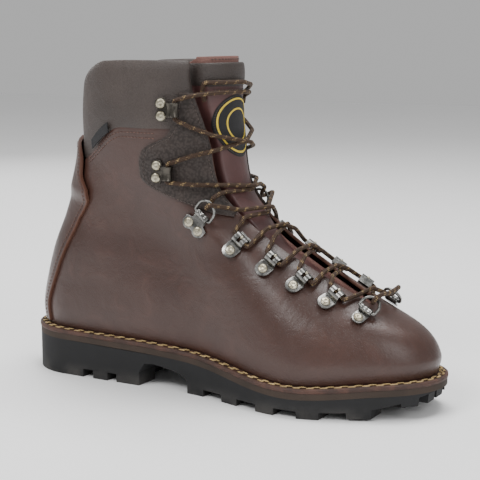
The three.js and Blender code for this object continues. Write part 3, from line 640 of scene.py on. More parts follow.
def plain_board(name, colour, roughness=0.75, metallic=0.0):
    """Hidden stiffeners and the insole: pressed fibre, or steel strip."""
    finish = Finish(name, metallic=metallic)
    fibre = finish.noise(380, 5, 0.65)
    tone = finish.mix(fibre.over(0.5, 0.3), darker(colour, 0.7), colour)
    return finish.put(tone, fibre * 0.2 + roughness - 0.1, [(fibre, 0.0002)])


FINISHES = {}


def make_finishes(colours):
    gold = tuple(colours.thread)
    FINISHES.update(
        strap=waxed_leather("backstay_leather", colours.leather, raw_edge=linear(84, 50, 34)),
        padding=soft_leather("padding_leather", colours.padding),
        grain=pebbled_leather("grain_leather", colours.grain),
        band=soft_leather("band_leather", darker(colours.padding, 0.8), 0.5, 0.0006),
        tongue=waxed_leather("tongue_leather", colours.tongue, gloss=0.4),
        lining=soft_leather("lining_leather", colours.lining, 0.7, 0.0004),
        welt=welt_leather(colours.welt),
        midsole=moulded_rubber("midsole_rubber", colours.midsole, linear(120, 108, 92), 0.7),
        rubber=moulded_rubber("rubber", colours.rubber, linear(92, 88, 84)),
        gold=thread("welt_thread", gold, darker(gold, 0.3)),
        brown=thread("seam_thread", linear(128, 96, 84), linear(52, 36, 30)),
        black=thread("dark_thread", linear(92, 80, 74), linear(38, 30, 28)),
        nickel=metal("nickel", linear(142, 141, 138), 0.24, linear(220, 220, 216), linear(70, 70, 68)),
        rivet=metal("rivet_nickel", linear(186, 180, 160), 0.32, linear(226, 220, 204),
                    linear(124, 116, 98)),
        bronze=metal("dark_bronze", linear(84, 80, 74), 0.3, linear(150, 144, 134), linear(48, 45, 42)),
        lace=braid(colours.lace, linear(166, 140, 98)),
        badge=woven_badge(linear(26, 25, 27), linear(226, 196, 62)),
        board=plain_board("fibre_board", linear(138, 116, 88)),
        steel=plain_board("shank_steel", linear(150, 150, 152), 0.4, 1.0),
    )


# ---- what a user would change --------------------------------------------------------------------
def colour_setting(name, description, red, green, blue):
    return FloatVectorProperty(name=name, description=description, subtype="COLOR", size=3, min=0, max=1,
                               default=linear(red, green, blue))


class BootColours(PropertyGroup):
    leather: colour_setting("Upper leather", "Colour of the waxed upper leather", 66, 43, 36)
    padding: colour_setting("Collar leather", "Colour of the padded collar's soft leather", 66, 57, 53)
    grain: colour_setting("Facing leather", "Colour of the grained lace facings", 50, 41, 37)
    tongue: colour_setting("Tongue leather", "Colour of the tongue", 82, 52, 50)
    lining: colour_setting("Lining leather", "Colour of the lining", 128, 92, 84)
    welt: colour_setting("Welt leather", "Colour of the welt", 72, 46, 36)
    midsole: colour_setting("Midsole", "Colour of the midsole strip", 56, 46, 39)
    rubber: colour_setting("Outsole rubber", "Colour of the lugged outsole", 27, 27, 28)
    thread: colour_setting("Welt thread", "Colour of the welt stitching", 206, 176, 122)
    lace: colour_setting("Lace", "Colour of the braided lace", 70, 50, 35)


class BootSizes(PropertyGroup):
    lace_diameter: FloatProperty(name="Lace diameter", description="Thickness of the round lace",
                                 default=0.0034, min=0.002, max=0.006, subtype="DISTANCE", unit="LENGTH")
    welt_stitch: FloatProperty(name="Welt stitch",
                               description="Length of one plaited stitch of the welt",
                               default=0.0093, min=0.005, max=0.015, subtype="DISTANCE", unit="LENGTH")
    collar_cap: FloatProperty(name="Collar swell",
                              description="Furthest that the collar's padding swells",
                              default=0.0022, min=0.0, max=0.006, subtype="DISTANCE", unit="LENGTH")


def settings(context):
    return context.scene.boot_colours, context.scene.boot_sizes


# ---- stage ---------------------------------------------------------------------------------------
TARGET = Vector((0.124, 0.0, 0.107))
AZIMUTH = math.radians(30)
CAMERA_DISTANCE = 0.870
CAMERA_HEIGHT = 0.246
FOCAL_LENGTH = 92.25
SENSOR = 36.0


def area_light(name, place, size, power, aim=TARGET):
    data = bpy.data.lights.new(name, "AREA")
    data.shape = "RECTANGLE"
    data.size, data.size_y = size
    data.energy = power
    lamp = bpy.data.objects.new(name, data)
    lamp.location = place
    lamp.rotation_euler = (aim - Vector(place)).to_track_quat("-Z", "Y").to_euler()
    bpy.context.scene.collection.objects.link(lamp)


class BOOT_OT_stage(Operator):
    """Lays the pale floor and sets the soft lights and the camera"""

    bl_idname = "boot.stage"
    bl_label = "Stage"

    def execute(self, context):
        scene = context.scene
        mesh = bmesh.new()
        bmesh.ops.create_grid(mesh, x_segments=8, y_segments=8, size=4.0)
        data = bpy.data.meshes.new("floor")
        mesh.to_mesh(data)
        mesh.free()
        floor = bpy.data.objects.new("floor", data)
        scene.collection.objects.link(floor)
        paper = Finish("floor_paper")
        tint = paper.noise(3, 2)
        white = paper.mix(tint, (0.93, 0.93, 0.93), (0.96, 0.96, 0.96))
        data.materials.append(paper.put(white, tint * 0.1 + 0.7))
        world = bpy.data.worlds.new("studio")
        world.use_nodes = True
        world.node_tree.nodes["Background"].inputs["Color"].default_value = (1, 1, 1, 1)
        world.node_tree.nodes["Background"].inputs["Strength"].default_value = 0.5
        scene.world = world
        area_light("key", (-0.35, -1.35, 1.5), (0.9, 0.6), 22)
        area_light("front", (1.45, -0.7, 0.9), (0.8, 1.0), 9)
        area_light("top", (0.15, 0.35, 1.7), (1.2, 0.8), 30)
        area_light("back", (-1.2, 0.9, 0.8), (0.8, 0.8), 6)
        data = bpy.data.cameras.new("camera")
        data.lens = FOCAL_LENGTH
        data.sensor_width = SENSOR
        data.clip_end = 20
        camera = bpy.data.objects.new("camera", data)
        camera.location = (TARGET.x + CAMERA_DISTANCE * math.sin(AZIMUTH),
                           TARGET.y - CAMERA_DISTANCE * math.cos(AZIMUTH), CAMERA_HEIGHT)
        camera.rotation_euler = (TARGET - camera.location).to_track_quat("-Z", "Y").to_euler()
        scene.collection.objects.link(camera)
        scene.camera = camera
        return {"FINISHED"}


# ---- sole ----------------------------------------------------------------------------------------
def foot_line(x):
    s = np.clip((x - X_BACK(0.0)) / (X_FRONT(0.0) - X_BACK(0.0)), 0, 1)
    return lerp(Z_BACK(0.0), Z_FRONT(0.0), s**1.25) + ball_dip(x)


def welt_bottom(x):
    return foot_line(x) - GAP - WELT


def sole_top(x):
    return welt_bottom(x) - GAP - MIDSOLE - GAP


def toe_spring(x):
    return 13 * (np.maximum(0, x - 214) / 62) ** 2


def outline(u, reach):
    """Points of the sole's outline in plan, a reach outside the last's lowest ring."""
    e = 0.004
    along = last(wrap(u + e), 0.0) - last(wrap(u - e), 0.0)
    out = unit(np.stack([along[..., 1], -along[..., 0], np.zeros_like(along[..., 0])], axis=-1))
    return last(u, 0.0) + out * np.asarray(reach)[..., None]


def plate(columns, reach, top, bottom):
    """A closed plate with the sole's outline, between two heights that follow x."""
    def layer(height):
        def place(p, q):
            outer = outline(-1 + p, reach)
            inner = outline(np.where(p == 0, 1.0, 1 - p), reach)
            point = lerp(outer, inner, q[:, None])
            return np.stack([point[:, 0], point[:, 1], height(point[:, 0])], axis=-1)
        return place

    upper = grid(columns, 8, layer(top))
    lower = grid(columns, 8, layer(bottom))
    for mesh in (upper, lower):
        merged(mesh, 0.05)
    bmesh.ops.reverse_faces(lower, faces=lower.faces)
    data = bpy.data.meshes.new("layer")
    lower.to_mesh(data)
    lower.free()
    upper.from_mesh(data)
    bpy.data.meshes.remove(data)
    rims = [edge for edge in upper.edges if edge.is_boundary]
    bmesh.ops.bridge_loops(upper, edges=rims)
    return outward(upper)


def box_solid(mesh, low, high, taper=0.0):
    """Adds a box, its lower face drawn in by a taper."""
    low, high = np.array(low, float), np.array(high, float)
    made = bmesh.ops.create_cube(mesh, size=1.0)
    for vert in made["verts"]:
        share = np.array(vert.co) + 0.5
        point = low + (high - low) * share
        if share[2] < 0.5:
            point[:2] += np.where(share[:2] < 0.5, taper, -taper)
        vert.co = Vector(point) * MM


def solid_object(name, mesh):
    data = bpy.data.meshes.new(name)
    mesh.to_mesh(data)
    mesh.free()
    obj = bpy.data.objects.new(name, data)
    bpy.context.scene.collection.objects.link(obj)
    return obj


def combined(first, second, operation):
    """Cuts or joins two closed objects and gives the first back with the result."""
    tool = modifier(first, "BOOLEAN", operation=operation, solver="MANIFOLD")
    tool.object = second
    depsgraph = bpy.context.evaluated_depsgraph_get()
    data = bpy.data.meshes.new_from_object(first.evaluated_get(depsgraph))
    first.modifiers.clear()
    first.data = data
    bpy.data.objects.remove(second)
    return first


HEEL_BLOCKS = [(-62, 12), (20, 34), (41, HEEL_FRONT)]
HEEL_SIDE = 31  # middle and half width of a heel block, from the heel's middle
HEEL_HALF = 13.5
LUG_TOP = 22.0
SIDE_BLOCK = 15.5
BLOCK_PITCH = 31.5
FIRST_BLOCK = 110
LUG_DRAFT = 0.6


def sole_base(x):
    """Height of the rubber's underside between the lugs."""
    arch = np.interp(x, [HEEL_FRONT - 2, HEEL_FRONT + 3, HEEL_FRONT + 14, 95, FIRST_BLOCK],
                     [TREAD_DEPTH, 17, 17.5, 14, TREAD_DEPTH - 1])
    return np.where(x < FIRST_BLOCK, arch, TREAD_DEPTH - 1 + toe_spring(x))


def lug_blocks():
    """Lowest and highest corners of every tread lug."""
    blocks = []
    for start, end in HEEL_BLOCKS:
        for y in (-HEEL_SIDE, HEEL_SIDE):
            blocks.append((start, end, y - HEEL_HALF, y + HEEL_HALF, 0.0, LUG_TOP))
    for start, end, half in ((-54, -30, 17.4), (-12, 12, 10), (25, 51, 10)):
        blocks.append((start, end, -half, half, 0.0, LUG_TOP))
    x = FIRST_BLOCK
    while x < 291:
        middle = centre_line(x)
        low = float(toe_spring(x))
        top = float(sole_top(x)) - 2
        for inner, outer in ((-63, -23), (21, 61)):
            blocks.append((x - SIDE_BLOCK / 2, x + SIDE_BLOCK / 2, middle + inner, middle + outer,
                           low, top))
        for step, half in ((-1, 7.5), (BLOCK_PITCH / 2, 11)):
            place = x + step
            for side in (-1, 1):
                y = centre_line(place) + side * half
                blocks.append((place - 5.5, place + 5.5, y - 6, y + 6,
                               float(toe_spring(place)), float(sole_top(place)) - 2))
        x += BLOCK_PITCH
    return blocks


class BOOT_OT_sole(Operator):
    """Makes the lugged outsole, the midsole strip and the leather welt"""

    bl_idname = "boot.sole"
    bl_label = "Sole"

    def execute(self, context):
        body = solid_object("outsole_body", plate(110, WELT_REACH, sole_top, sole_base))
        lugs = bmesh.new()
        for x0, x1, y0, y1, z0, z1 in lug_blocks():
            box_solid(lugs, (x0, y0, z0), (x1, y1, z1), LUG_DRAFT)
        trim = plate(110, WELT_REACH - 0.05, lambda x: sole_top(x) - 1.0,
                     lambda x: np.full_like(x, -TREAD_DEPTH))
        lugs = combined(solid_object("lugs", lugs), solid_object("trim", trim), "INTERSECT")
        body = combined(body, lugs, "UNION")
        mesh = bmesh.new()
        mesh.from_mesh(body.data)
        bpy.data.objects.remove(body)
        merged(mesh, 0.03)
        bmesh.ops.dissolve_limit(mesh, angle_limit=math.radians(1.5), verts=mesh.verts, edges=mesh.edges)
        outsole = piece("outsole_rubber", mesh, "root", FINISHES["rubber"], ["outsole"])
        rounded(outsole, 0.7, 2, 35)
        strip = piece("midsole_strip", plate(150, WELT_REACH + 0.1, lambda x: welt_bottom(x) - 0.05,
                                             lambda x: sole_top(x) + 0.05), "root",
                      FINISHES["midsole"], ["midsole"])
        rounded(strip, 0.35, 2, 50)

        profile = [(-7, 0), (-2, 0.15), (0.2, 0.1), (1.2, -0.35), (4.9, -0.35), (5.5, 0.1), (6.3, 0.1),
                   (7.0, -0.4), (7.15, -1.6), (7.0, -WELT + 0.3), (6.6, -WELT), (-7, -WELT)]
        reach = np.array([point[0] for point in profile] + [profile[0][0]])
        rise = np.array([point[1] for point in profile] + [profile[0][1]])

        def place(p, q):
            index = np.rint(q * len(profile)).astype(int)
            point = outline(wrap(-1 + 2 * p), reach[index])
            point[:, 2] = foot_line(point[:, 0]) - GAP + rise[index]
            return point

        ring = outward(merged(grid(260, len(profile), place), 0.02))
        piece("welt_strip", ring, "root", FINISHES["welt"], ["welt"])
        return {"FINISHED"}


class BOOT_OT_welt_stitching(Operator):
    """Sews the two plaited rows of waxed thread along the welt"""

    bl_idname = "boot.welt_stitching"
    bl_label = "Welt stitching"

    def execute(self, context):
        stitch = settings(context)[1].welt_stitch / MM
        mesh = bmesh.new()
        for reach, lean, start, share in ((1.9, 0.0, 0, 0.6), (4.5, 0.0, 7, 0.6), (3.2, 0.62, 3, 0.42)):
            u = np.linspace(-1, 1, 1201)[start:]
            line = outline(wrap(u), np.full_like(u, reach))
            line[:, 2] = foot_line(line[:, 0]) - GAP + 0.2
            ups = np.tile([0.0, 0.0, 1.0], (len(line), 1))
            for shift in (-0.42, 0.42):
                stitches(mesh, line, ups, stitch, stitch * share, 0.95, lean, shift)
        piece("welt_stitching", mesh, "root", FINISHES["gold"])
        return {"FINISHED"}


# ---- upper and lining ----------------------------------------------------------------------------
THROAT_ROW = 8 / 17
THROAT_EDGE = 4 / 36


def row_level(u, q, low):
    return np.where(q <= THROAT_ROW, lerp(low, THROAT_START, q / THROAT_ROW),
                    lerp(THROAT_START, seam_level(u), (q - THROAT_ROW) / (1 - THROAT_ROW)))


def column_u(p, v):
    across = -1 + 2 * p
    opening = smooth((v - 0.12) / (THROAT_START - 0.12))
    at = lerp(THROAT_EDGE, throat_u(np.maximum(v, THROAT_START)), opening)
    m = np.abs(across)
    outside = at + (m - THROAT_EDGE) / (1 - THROAT_EDGE) * (1 - at)
    bent = np.where(m < THROAT_EDGE, m / THROAT_EDGE * at, outside)
    return np.sign(across) * bent


def shell(columns, rows, low, offset):
    """The upper's sheet, open along the throat."""
    def spread(p, q):
        u, v = -1 + 2 * p, np.zeros_like(p)
        for _ in range(4):
            v = row_level(u, q, low)
            u = column_u(p, v)
        return u, v

    def place(p, q):
        u, v = spread(p, q)
        return off_last(u, v, offset)

    def keep(p, q):
        return (q < THROAT_ROW) | (np.abs(-1 + 2 * p) > THROAT_EDGE)

    def edge(p, q):
        near = np.abs(np.abs(-1 + 2 * p) - THROAT_EDGE) < 0.002
        return {"edge": np.where(near & (q > THROAT_ROW - 0.001), 1.0, 0.0)}

    return merged(grid(columns, rows, place, keep, marks=edge), 0.02)


def backstay_half(v):
    return np.interp(v, [0.03, 0.1, 0.26, 0.45, 0.53, 0.575, 0.62, 0.69, 0.72, BACKSTAY_TOP],
                     [0.15, 0.15, 0.181, 0.233, 0.272, 0.269, 0.224, 0.212, 0.17, 0.09])


BACKSTAY_TOP = 0.745
COLLAR_BULGE = 1.8
COLLAR_SLACK = 1.2  # how far the collar starts inside its shape, before its foam swells it
COLLAR_REST = 0.2
COLLAR_HELD = 0.162  # metres; the collar's skin is sewn down below this height
SWELL_STEPS = 20
SWELL_PRESSURE = 4.0


def backstay_lift(v):
    return (COLLAR_BULGE + GAP) * smooth((v - 0.51) / 0.06)


class BOOT_OT_upper(Operator):
    """Makes the one-piece leather upper, its lining and the heel's backstay, with their seams"""

    bl_idname = "boot.upper"
    bl_label = "Upper"

    def execute(self, context):
        upper = piece("upper_leather", shell(216, 102, 0.0, 0.0), "root",
                      FINISHES["strap"], ["upper"])
        thicken(upper, LEATHER)
        rounded(upper, 0.8, 3, 50, False)
        lining = piece("lining_leather", shell(108, 51, 0.012, LINING_OUT), "root",
                       FINISHES["lining"], ["lining"])
        thicken(lining, LINING)
        rounded(lining, 0.8, 2, 50, False)

        def strap(p, q):
            v = lerp(0.012, BACKSTAY_TOP, q)
            round_off = np.sqrt(np.clip(1 - np.clip((q - 0.955) / 0.045, 0, 1) ** 2 * 0.75, 0, 1))
            return 1 + lerp(-1, 1, p) * backstay_half(v) * round_off, v

        def place(p, q):
            u, v = strap(p, q)
            crown = 0.35 * (1 - np.abs(2 * p - 1) ** 4)
            return off_last(u, v, SEAT + OVERLAY - 0.35 + crown + backstay_lift(v))

        def edge(p, q):
            return {"edge": np.maximum(np.abs(2 * p - 1), (q > 0.985) * 1.0) ** 60}

        back = piece("backstay_leather", grid(40, 90, place, marks=edge), "root",
                     FINISHES["strap"], ["backstay"])
        thicken(back, OVERLAY + SEAT + 0.2)
        rounded(back, 0.5, 2, 50, False)

        seams = bmesh.new()
        v = np.linspace(0.02, 0.73, 300)
        for side in (-1, 1):
            u = 1 + side * (backstay_half(v) - 0.016)
            row_on_last(seams, u, v, SEAT + OVERLAY + 0.12 + backstay_lift(v), BACKSTAY_SEAM)
        for side in (-1, 1):
            u = side * np.linspace(0.4, 0.745, 240)
            for drop in (0.014, 0.027):
                row_on_last(seams, u, seam_level(u) - drop, 0.3, UPPER_SEAM)
        piece("upper_seams", seams, "root", FINISHES["brown"])
        return {"FINISHED"}


# ---- collar --------------------------------------------------------------------------------------
def collar_section(q):
    """Share up the collar and depth (0 outside, 1 inside) round its closed section."""
    rise = np.interp(q, [0, 0.42, 0.5, 0.58, 1], [0, 0.9, 1.0, 0.9, 0])
    depth = np.interp(q, [0, 0.42, 0.5, 0.58, 1], [0, 0.1, 0.5, 0.9, 1.0])
    return rise, depth


def collar_place(p, q, shrink):
    rise, depth = collar_section(q)
    u, v = np.ones_like(p), np.full_like(p, 0.9)
    for _ in range(4):
        edge = throat_u(np.minimum(v, THROAT_END)) + 0.006
        u = wrap(lerp(edge, 2 - edge, p))
        v = lerp(seam_level(u) - 0.014, collar_level(u), rise)
    inner = LINING_OUT - LINING
    body = smooth((np.abs(u) - 0.36) / 0.12)
    swell = (COLLAR_BULGE - 0.4) * body * np.sin(np.pi * np.clip(rise, 0, 1)) ** 0.6
    outside = swell - shrink
    inside = inner + shrink
    return off_last(u, v, lerp(outside, inside, depth))


def blown(obj, cap, hold):
    """Fills a pad by a short cloth simulation and evens out its swell, which stays under a cap."""
    before = np.array([vert.co for vert in obj.data.vertices])
    pins = obj.vertex_groups.new(name="held")
    for index in np.nonzero(hold(before))[0]:
        pins.add([int(index)], 1.0, "REPLACE")
    cloth = modifier(obj, "CLOTH").settings
    cloth.use_pressure = True
    cloth.uniform_pressure_force = SWELL_PRESSURE
    cloth.vertex_group_mass = "held"
    cloth.tension_stiffness = 12
    cloth.compression_stiffness = 4
    cloth.effector_weights.gravity = 0.0
    scene = bpy.context.scene
    for step in range(1, SWELL_STEPS + 1):
        scene.frame_set(step)
    depsgraph = bpy.context.evaluated_depsgraph_get()
    after = np.array([vert.co for vert in obj.evaluated_get(depsgraph).data.vertices])
    obj.modifiers.clear()
    obj.vertex_groups.clear()
    normals = np.array([vert.normal for vert in obj.data.vertices])
    one, other = np.array([edge.vertices[:] for edge in obj.data.edges]).T
    swell = np.clip(((after - before) * normals).sum(axis=1), 0, cap)
    count, total = np.bincount(np.concatenate([one, other])), len(swell)
    for _ in range(12):
        around = np.bincount(one, swell[other], total) + np.bincount(other, swell[one], total)
        swell = lerp(swell, around / count, 0.5)
    for vert, point in zip(obj.data.vertices, before + normals * swell[:, None]):
        vert.co = point
    scene.frame_set(1)


class BOOT_OT_collar(Operator):
    """Makes the padded collar round the ankle, swollen by its foam"""

    bl_idname = "boot.collar"
    bl_label = "Collar"

    def execute(self, context):
        sizes = settings(context)[1]
        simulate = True

        def place(p, q):
            return collar_place(p, q, COLLAR_SLACK if simulate else COLLAR_REST)

        mesh = merged(grid(150, 36, place), 0.02)
        rims = [edge for edge in mesh.edges if edge.is_boundary]
        bmesh.ops.holes_fill(mesh, edges=rims)
        bmesh.ops.triangulate(mesh, faces=[face for face in mesh.faces if len(face.verts) > 4])
        collar = piece("collar_pad", outward(mesh), None, FINISHES["padding"])
        if simulate:
            blown(collar, sizes.collar_cap, lambda points: points[:, 2] < COLLAR_HELD)
        modifier(collar, "SMOOTH", factor=0.5, iterations=3)
        finer(collar)
        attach(collar, "root")
        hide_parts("collar")

        def tab(p, q):
            u = lerp(-0.69, -0.585, p)
            return off_last(u, seam_level(u) + lerp(-0.005, 0.024, q), COLLAR_BULGE + 1.5)

        label = piece("side_label", grid(16, 8, tab), "root",
                      FINISHES["badge"], ["side_tab"])
        thicken(label, 1.0)
        rounded(label, 0.3, 2, 50, False)
        return {"FINISHED"}


# ---- facings -------------------------------------------------------------------------------------
FACING_LOW = 0.612
FACING_HIGH = 0.93
FACING_LEVELS = [FACING_LOW, 0.633, 0.646, 0.655, 0.68, 0.738, 0.767, 0.787, 0.808, 0.833, 0.9,
                 FACING_HIGH]
FACING_STEPS = [0.27, 0.36, 0.41, 0.462, 0.492, 0.478, 0.458, 0.422, 0.36, 0.33, 0.308, 0.29]


def eased(values, keys, at):
    """Values between keys, rounded at the corners by averaging close neighbours."""
    reach = (keys[-1] - keys[0]) * 0.022
    return sum(np.interp(at + reach * k, keys, values) for k in (-1, -0.5, 0, 0.5, 1)) / 5


def facing_front(v):
    return lerp(throat_u(v) + 0.006, 0.2, 1 - smooth((v - FACING_LOW) / 0.03))


def facing_rear(v):
    return eased(FACING_STEPS, FACING_LEVELS, v)


class BOOT_OT_facings(Operator):
    """Makes the two grained lace facings with a stitched border"""

    bl_idname = "boot.facings"
    bl_label = "Facings"

    def execute(self, context):
        seams = bmesh.new()
        for side, name in SIDES:
            def place(p, q, side=side):
                v = lerp(FACING_LOW, FACING_HIGH, q)
                share = 1 - p if side < 0 else p
                u = side * lerp(facing_front(v), facing_rear(v), share)
                rim = 1 - (1 - np.clip(np.minimum(share, 1 - share) / 0.06, 0, 1)) ** 2
                ends = 1 - (1 - np.clip(np.minimum(q, 1 - q) / 0.04, 0, 1)) ** 2
                return off_last(u, v, SEAT + OVERLAY - 0.45 + 0.45 * np.minimum(rim, ends))

            def edge(p, q):
                return {"edge": np.maximum(np.abs(2 * p - 1), np.abs(2 * q - 1)) ** 16}

            panel = piece(f"facing_leather_{name}", grid(48, 84, place, marks=edge), "root",
                          FINISHES["grain"], [f"facing_{name}"])
            thicken(panel, OVERLAY + SEAT + 0.2)
            rounded(panel, 0.55, 2, 50, False)
            v = np.linspace(FACING_LOW + 0.012, FACING_HIGH - 0.01, 200)
            for edge_u in (facing_rear(v) - 0.018, facing_front(v) + 0.017):
                row_on_last(seams, side * edge_u, v, OVER_FACING + 0.05, EDGE_SEAM)
        piece("facing_seams", seams, "root", FINISHES["black"])
        return {"FINISHED"}


# ---- tongue --------------------------------------------------------------------------------------
TONGUE_LOW = 0.345
TONGUE_HIGH = 1.016
TONGUE_EDGE = LINING_OUT - LINING - SEAT
TONGUE_BAND = 0.945  # the padded band starts at this level


def tongue_face(u, v):
    """How far the tongue's outer face stands off the last."""
    opening = throat_u(np.minimum(v, THROAT_END))
    crown = lerp(-7.4, -0.6, smooth((v - 0.52) / 0.14))
    return lerp(TONGUE_EDGE, crown, smooth((opening * 0.99 - np.abs(u)) / (opening * 0.26)))


def tongue_reach(v):
    tip = np.clip((v - 0.96) / (TONGUE_HIGH - 0.96), 0, 1) ** 2
    return (throat_u(v) + 0.03) * np.sqrt(1 - 0.45 * tip)


BADGE_MIDDLE = 0.853
BADGE_TALL = 0.072
BADGE_WIDE = 0.162
# share of the badge's radius, width of the ridge and half width of its colour
BADGE_RINGS = ((0.86, 0.03, 0.026), (0.52, 0.035, 0.03))


class BOOT_OT_tongue(Operator):
    """Makes the leather tongue, its padded top band, the lining's edge and the oval badge"""

    bl_idname = "boot.tongue"
    bl_label = "Tongue"

    def execute(self, context):
        def face(low, high, lift):
            def place(p, q):
                v = lerp(low, high, q)
                across = 2 * p - 1
                u = tongue_reach(v) * np.sign(across) * np.abs(across) ** 0.85
                return off_last(u, v, tongue_face(u, v) + lift(p, q))
            return place

        sheet = grid(64, 120, face(TONGUE_LOW, TONGUE_BAND + 0.01, lambda p, q: -0.1))
        panel = piece("tongue_leather", sheet, "tongue", FINISHES["tongue"],
                      ["tongue"])
        thicken(panel, 3.2)
        rounded(panel, 0.8, 2, 50, False)

        def pad(p, q):
            side = np.sqrt(np.clip(1 - np.abs(2 * p - 1) ** 6, 0, 1))
            return 1.5 * np.sqrt(np.clip(1 - (2 * q - 1) ** 2, 0, 1)) ** 0.8 * side - 0.3

        band = piece("tongue_band", grid(64, 24, face(TONGUE_BAND, TONGUE_HIGH - 0.012, pad)), "tongue",
                     FINISHES["band"])
        thicken(band, 4.4)
        rounded(band, 1.6, 4, 50, False)
        sheet = grid(64, 8, face(TONGUE_HIGH - 0.03, TONGUE_HIGH + 0.004, lambda p, q: -3.2))
        rim = piece("tongue_lining_edge", sheet, "tongue", FINISHES["lining"])
        thicken(rim, 2.2)
        rounded(rim, 0.7, 2, 50, False)

        def oval(p, q):
            angle = 2 * np.pi * p
            return np.sin(angle) * BADGE_WIDE * q, BADGE_MIDDLE - np.cos(angle) * BADGE_TALL * q

        def place(p, q):
            u, v = oval(p, q)
            ring = sum(np.exp(-(((q - at) / width) ** 2)) for at, width, _ in BADGE_RINGS)
            fall = np.clip((q - 0.965) / 0.035, 0, 1)
            return off_last(u, v, tongue_face(u, v) + 0.55 + 0.28 * ring - 0.3 * fall)

        def rings(p, q):
            return {"rings": sum((np.abs(q - at) < half) * 1.0 for at, _, half in BADGE_RINGS)}

        disc = outward(merged(grid(96, 50, place, marks=rings), 0.02))
        badge = piece("tongue_badge_cloth", disc, "tongue", FINISHES["badge"],
                      ["tongue_badge"])
        thicken(badge, 0.5)

        seams = bmesh.new()
        u = np.linspace(-0.15, 0.15, 60)
        for v, lift in ((TONGUE_BAND - 0.008, 0.1), (TONGUE_HIGH - 0.004, -3.0)):
            stitches(seams, off_last(u, v, tongue_face(u, v) + lift), last_normal(u, v), *EDGE_SEAM)
        angle = np.linspace(0, 2 * np.pi, 160)
        u, v = 0.95 * BADGE_WIDE * np.sin(angle), BADGE_MIDDLE - 0.95 * BADGE_TALL * np.cos(angle)
        stitches(seams, off_last(u, v, tongue_face(u, v) + 0.6), last_normal(u, v), *BADGE_SEAM)
        piece("tongue_seams", seams, "tongue", FINISHES["black"])
        return {"FINISHED"}


GUSSET_OUTER = 0.05  # step past the throat's edge where a gusset joins the quarter
GUSSET_INNER = 0.72  # share of the throat's step where it joins the tongue


class BOOT_OT_gussets(Operator):
    """Makes the folded gussets that join the tongue's sides to the quarters"""

    bl_idname = "boot.gussets"
    bl_label = "Gussets"

    def execute(self, context):
        for side, name in SIDES:
            def place(p, q, side=side):
                v = lerp(0.36, 0.78, q)
                fold = -3.2 * np.sin(np.pi * p)
                depth = p if side > 0 else 1 - p
                u = side * lerp(throat_u(v) + GUSSET_OUTER, throat_u(v) * GUSSET_INNER, depth)
                return off_last(u, v, lerp(TONGUE_EDGE - 4.2, tongue_face(u, v) - 3.9, depth) + fold)

            strip = outward(grid(14, 60, place))
            gusset = piece(f"gusset_{name}", strip, None, FINISHES["tongue"])
            v = 0.6
            start = Vector(off_last(side * (throat_u(v) + GUSSET_OUTER), v, -12)) * MM
            end = Vector(off_last(side * throat_u(v) * GUSSET_INNER, v, -8)) * MM
            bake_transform(gusset)
        return {"FINISHED"}


# ---- metal fittings: local X runs towards the throat, Z stands off the leather -------------------
RIVET_HEAD = 3.4
RING_WIRE = 1.1
BARREL_BORE = RING_WIRE + 0.35
BARREL = BARREL_BORE + SHEET_METAL
LIFT = SEAT + 0.9
RING_TILT = -0.36
LOOPS = [((0.325, 0.475), (0.213, 0.547)), ((0.278, 0.425), (0.173, 0.486)),
         ((0.239, 0.379), (0.148, 0.425)), ((0.2, 0.329), (0.118, 0.366))]
FITTINGS = {
    "toe": ((0.165, 0.272), (0.107, 0.302), LIFT),
    "ankle": ((0.379, 0.543), (0.311, 0.6), LIFT + 0.4),
    "hook_lower": ((0.408, 0.721), (0.3, 0.729), OVER_FACING + LIFT),
    "hook_upper": ((0.357, 0.883), (0.262, 0.887), OVER_FACING + LIFT),
}
LOOP_PATH = [(4.4, 0.55), (5.2, 1.6), (5.9, 3.8), (7.3, 5.5), (9.4, 6.2), (11.6, 5.8), (13.3, 4.3),
             (14, 2.2), (14.3, 0.55), (15.4, 0.55)]
HOOK_PATH = [(4.4, 0.55), (9.6, 0.55), (11.5, 1.5), (12.3, 3.6), (11.7, 5.6), (9.9, 6.9), (7.7, 6.9),
             (6.2, 6.2), (5.2, 6.4)]


def seat_matrix(side, base, tip, lift):
    """Where a fitting sits: its rivet at one place of the last, its far end towards another."""
    n0, n1 = last_normal(side * base[0], base[1]), last_normal(side * tip[0], tip[1])
    start = last(side * base[0], base[1]) + n0 * lift
    end = last(side * tip[0], tip[1]) + n1 * lift
    x = unit(end - start)
    z = n0 + n1
    z = unit(z - x * np.dot(z, x))
    y = np.cross(z, x)
    matrix = np.eye(4)
    matrix[:3, 0], matrix[:3, 1], matrix[:3, 2], matrix[:3, 3] = x, y, z, start * MM
    return Matrix(matrix.tolist())


def moved(mesh, matrix):
    bmesh.ops.transform(mesh, matrix=matrix, verts=mesh.verts)
    return mesh


def flat_face(mesh, corners):
    return mesh.faces.new([mesh.verts.new(Vector((x, y, 0)) * MM) for x, y in corners])


def arc(x, y, radius, start, end, steps):
    return [(x + radius * math.cos(a), y + radius * math.sin(a)) for a in np.linspace(start, end, steps)]


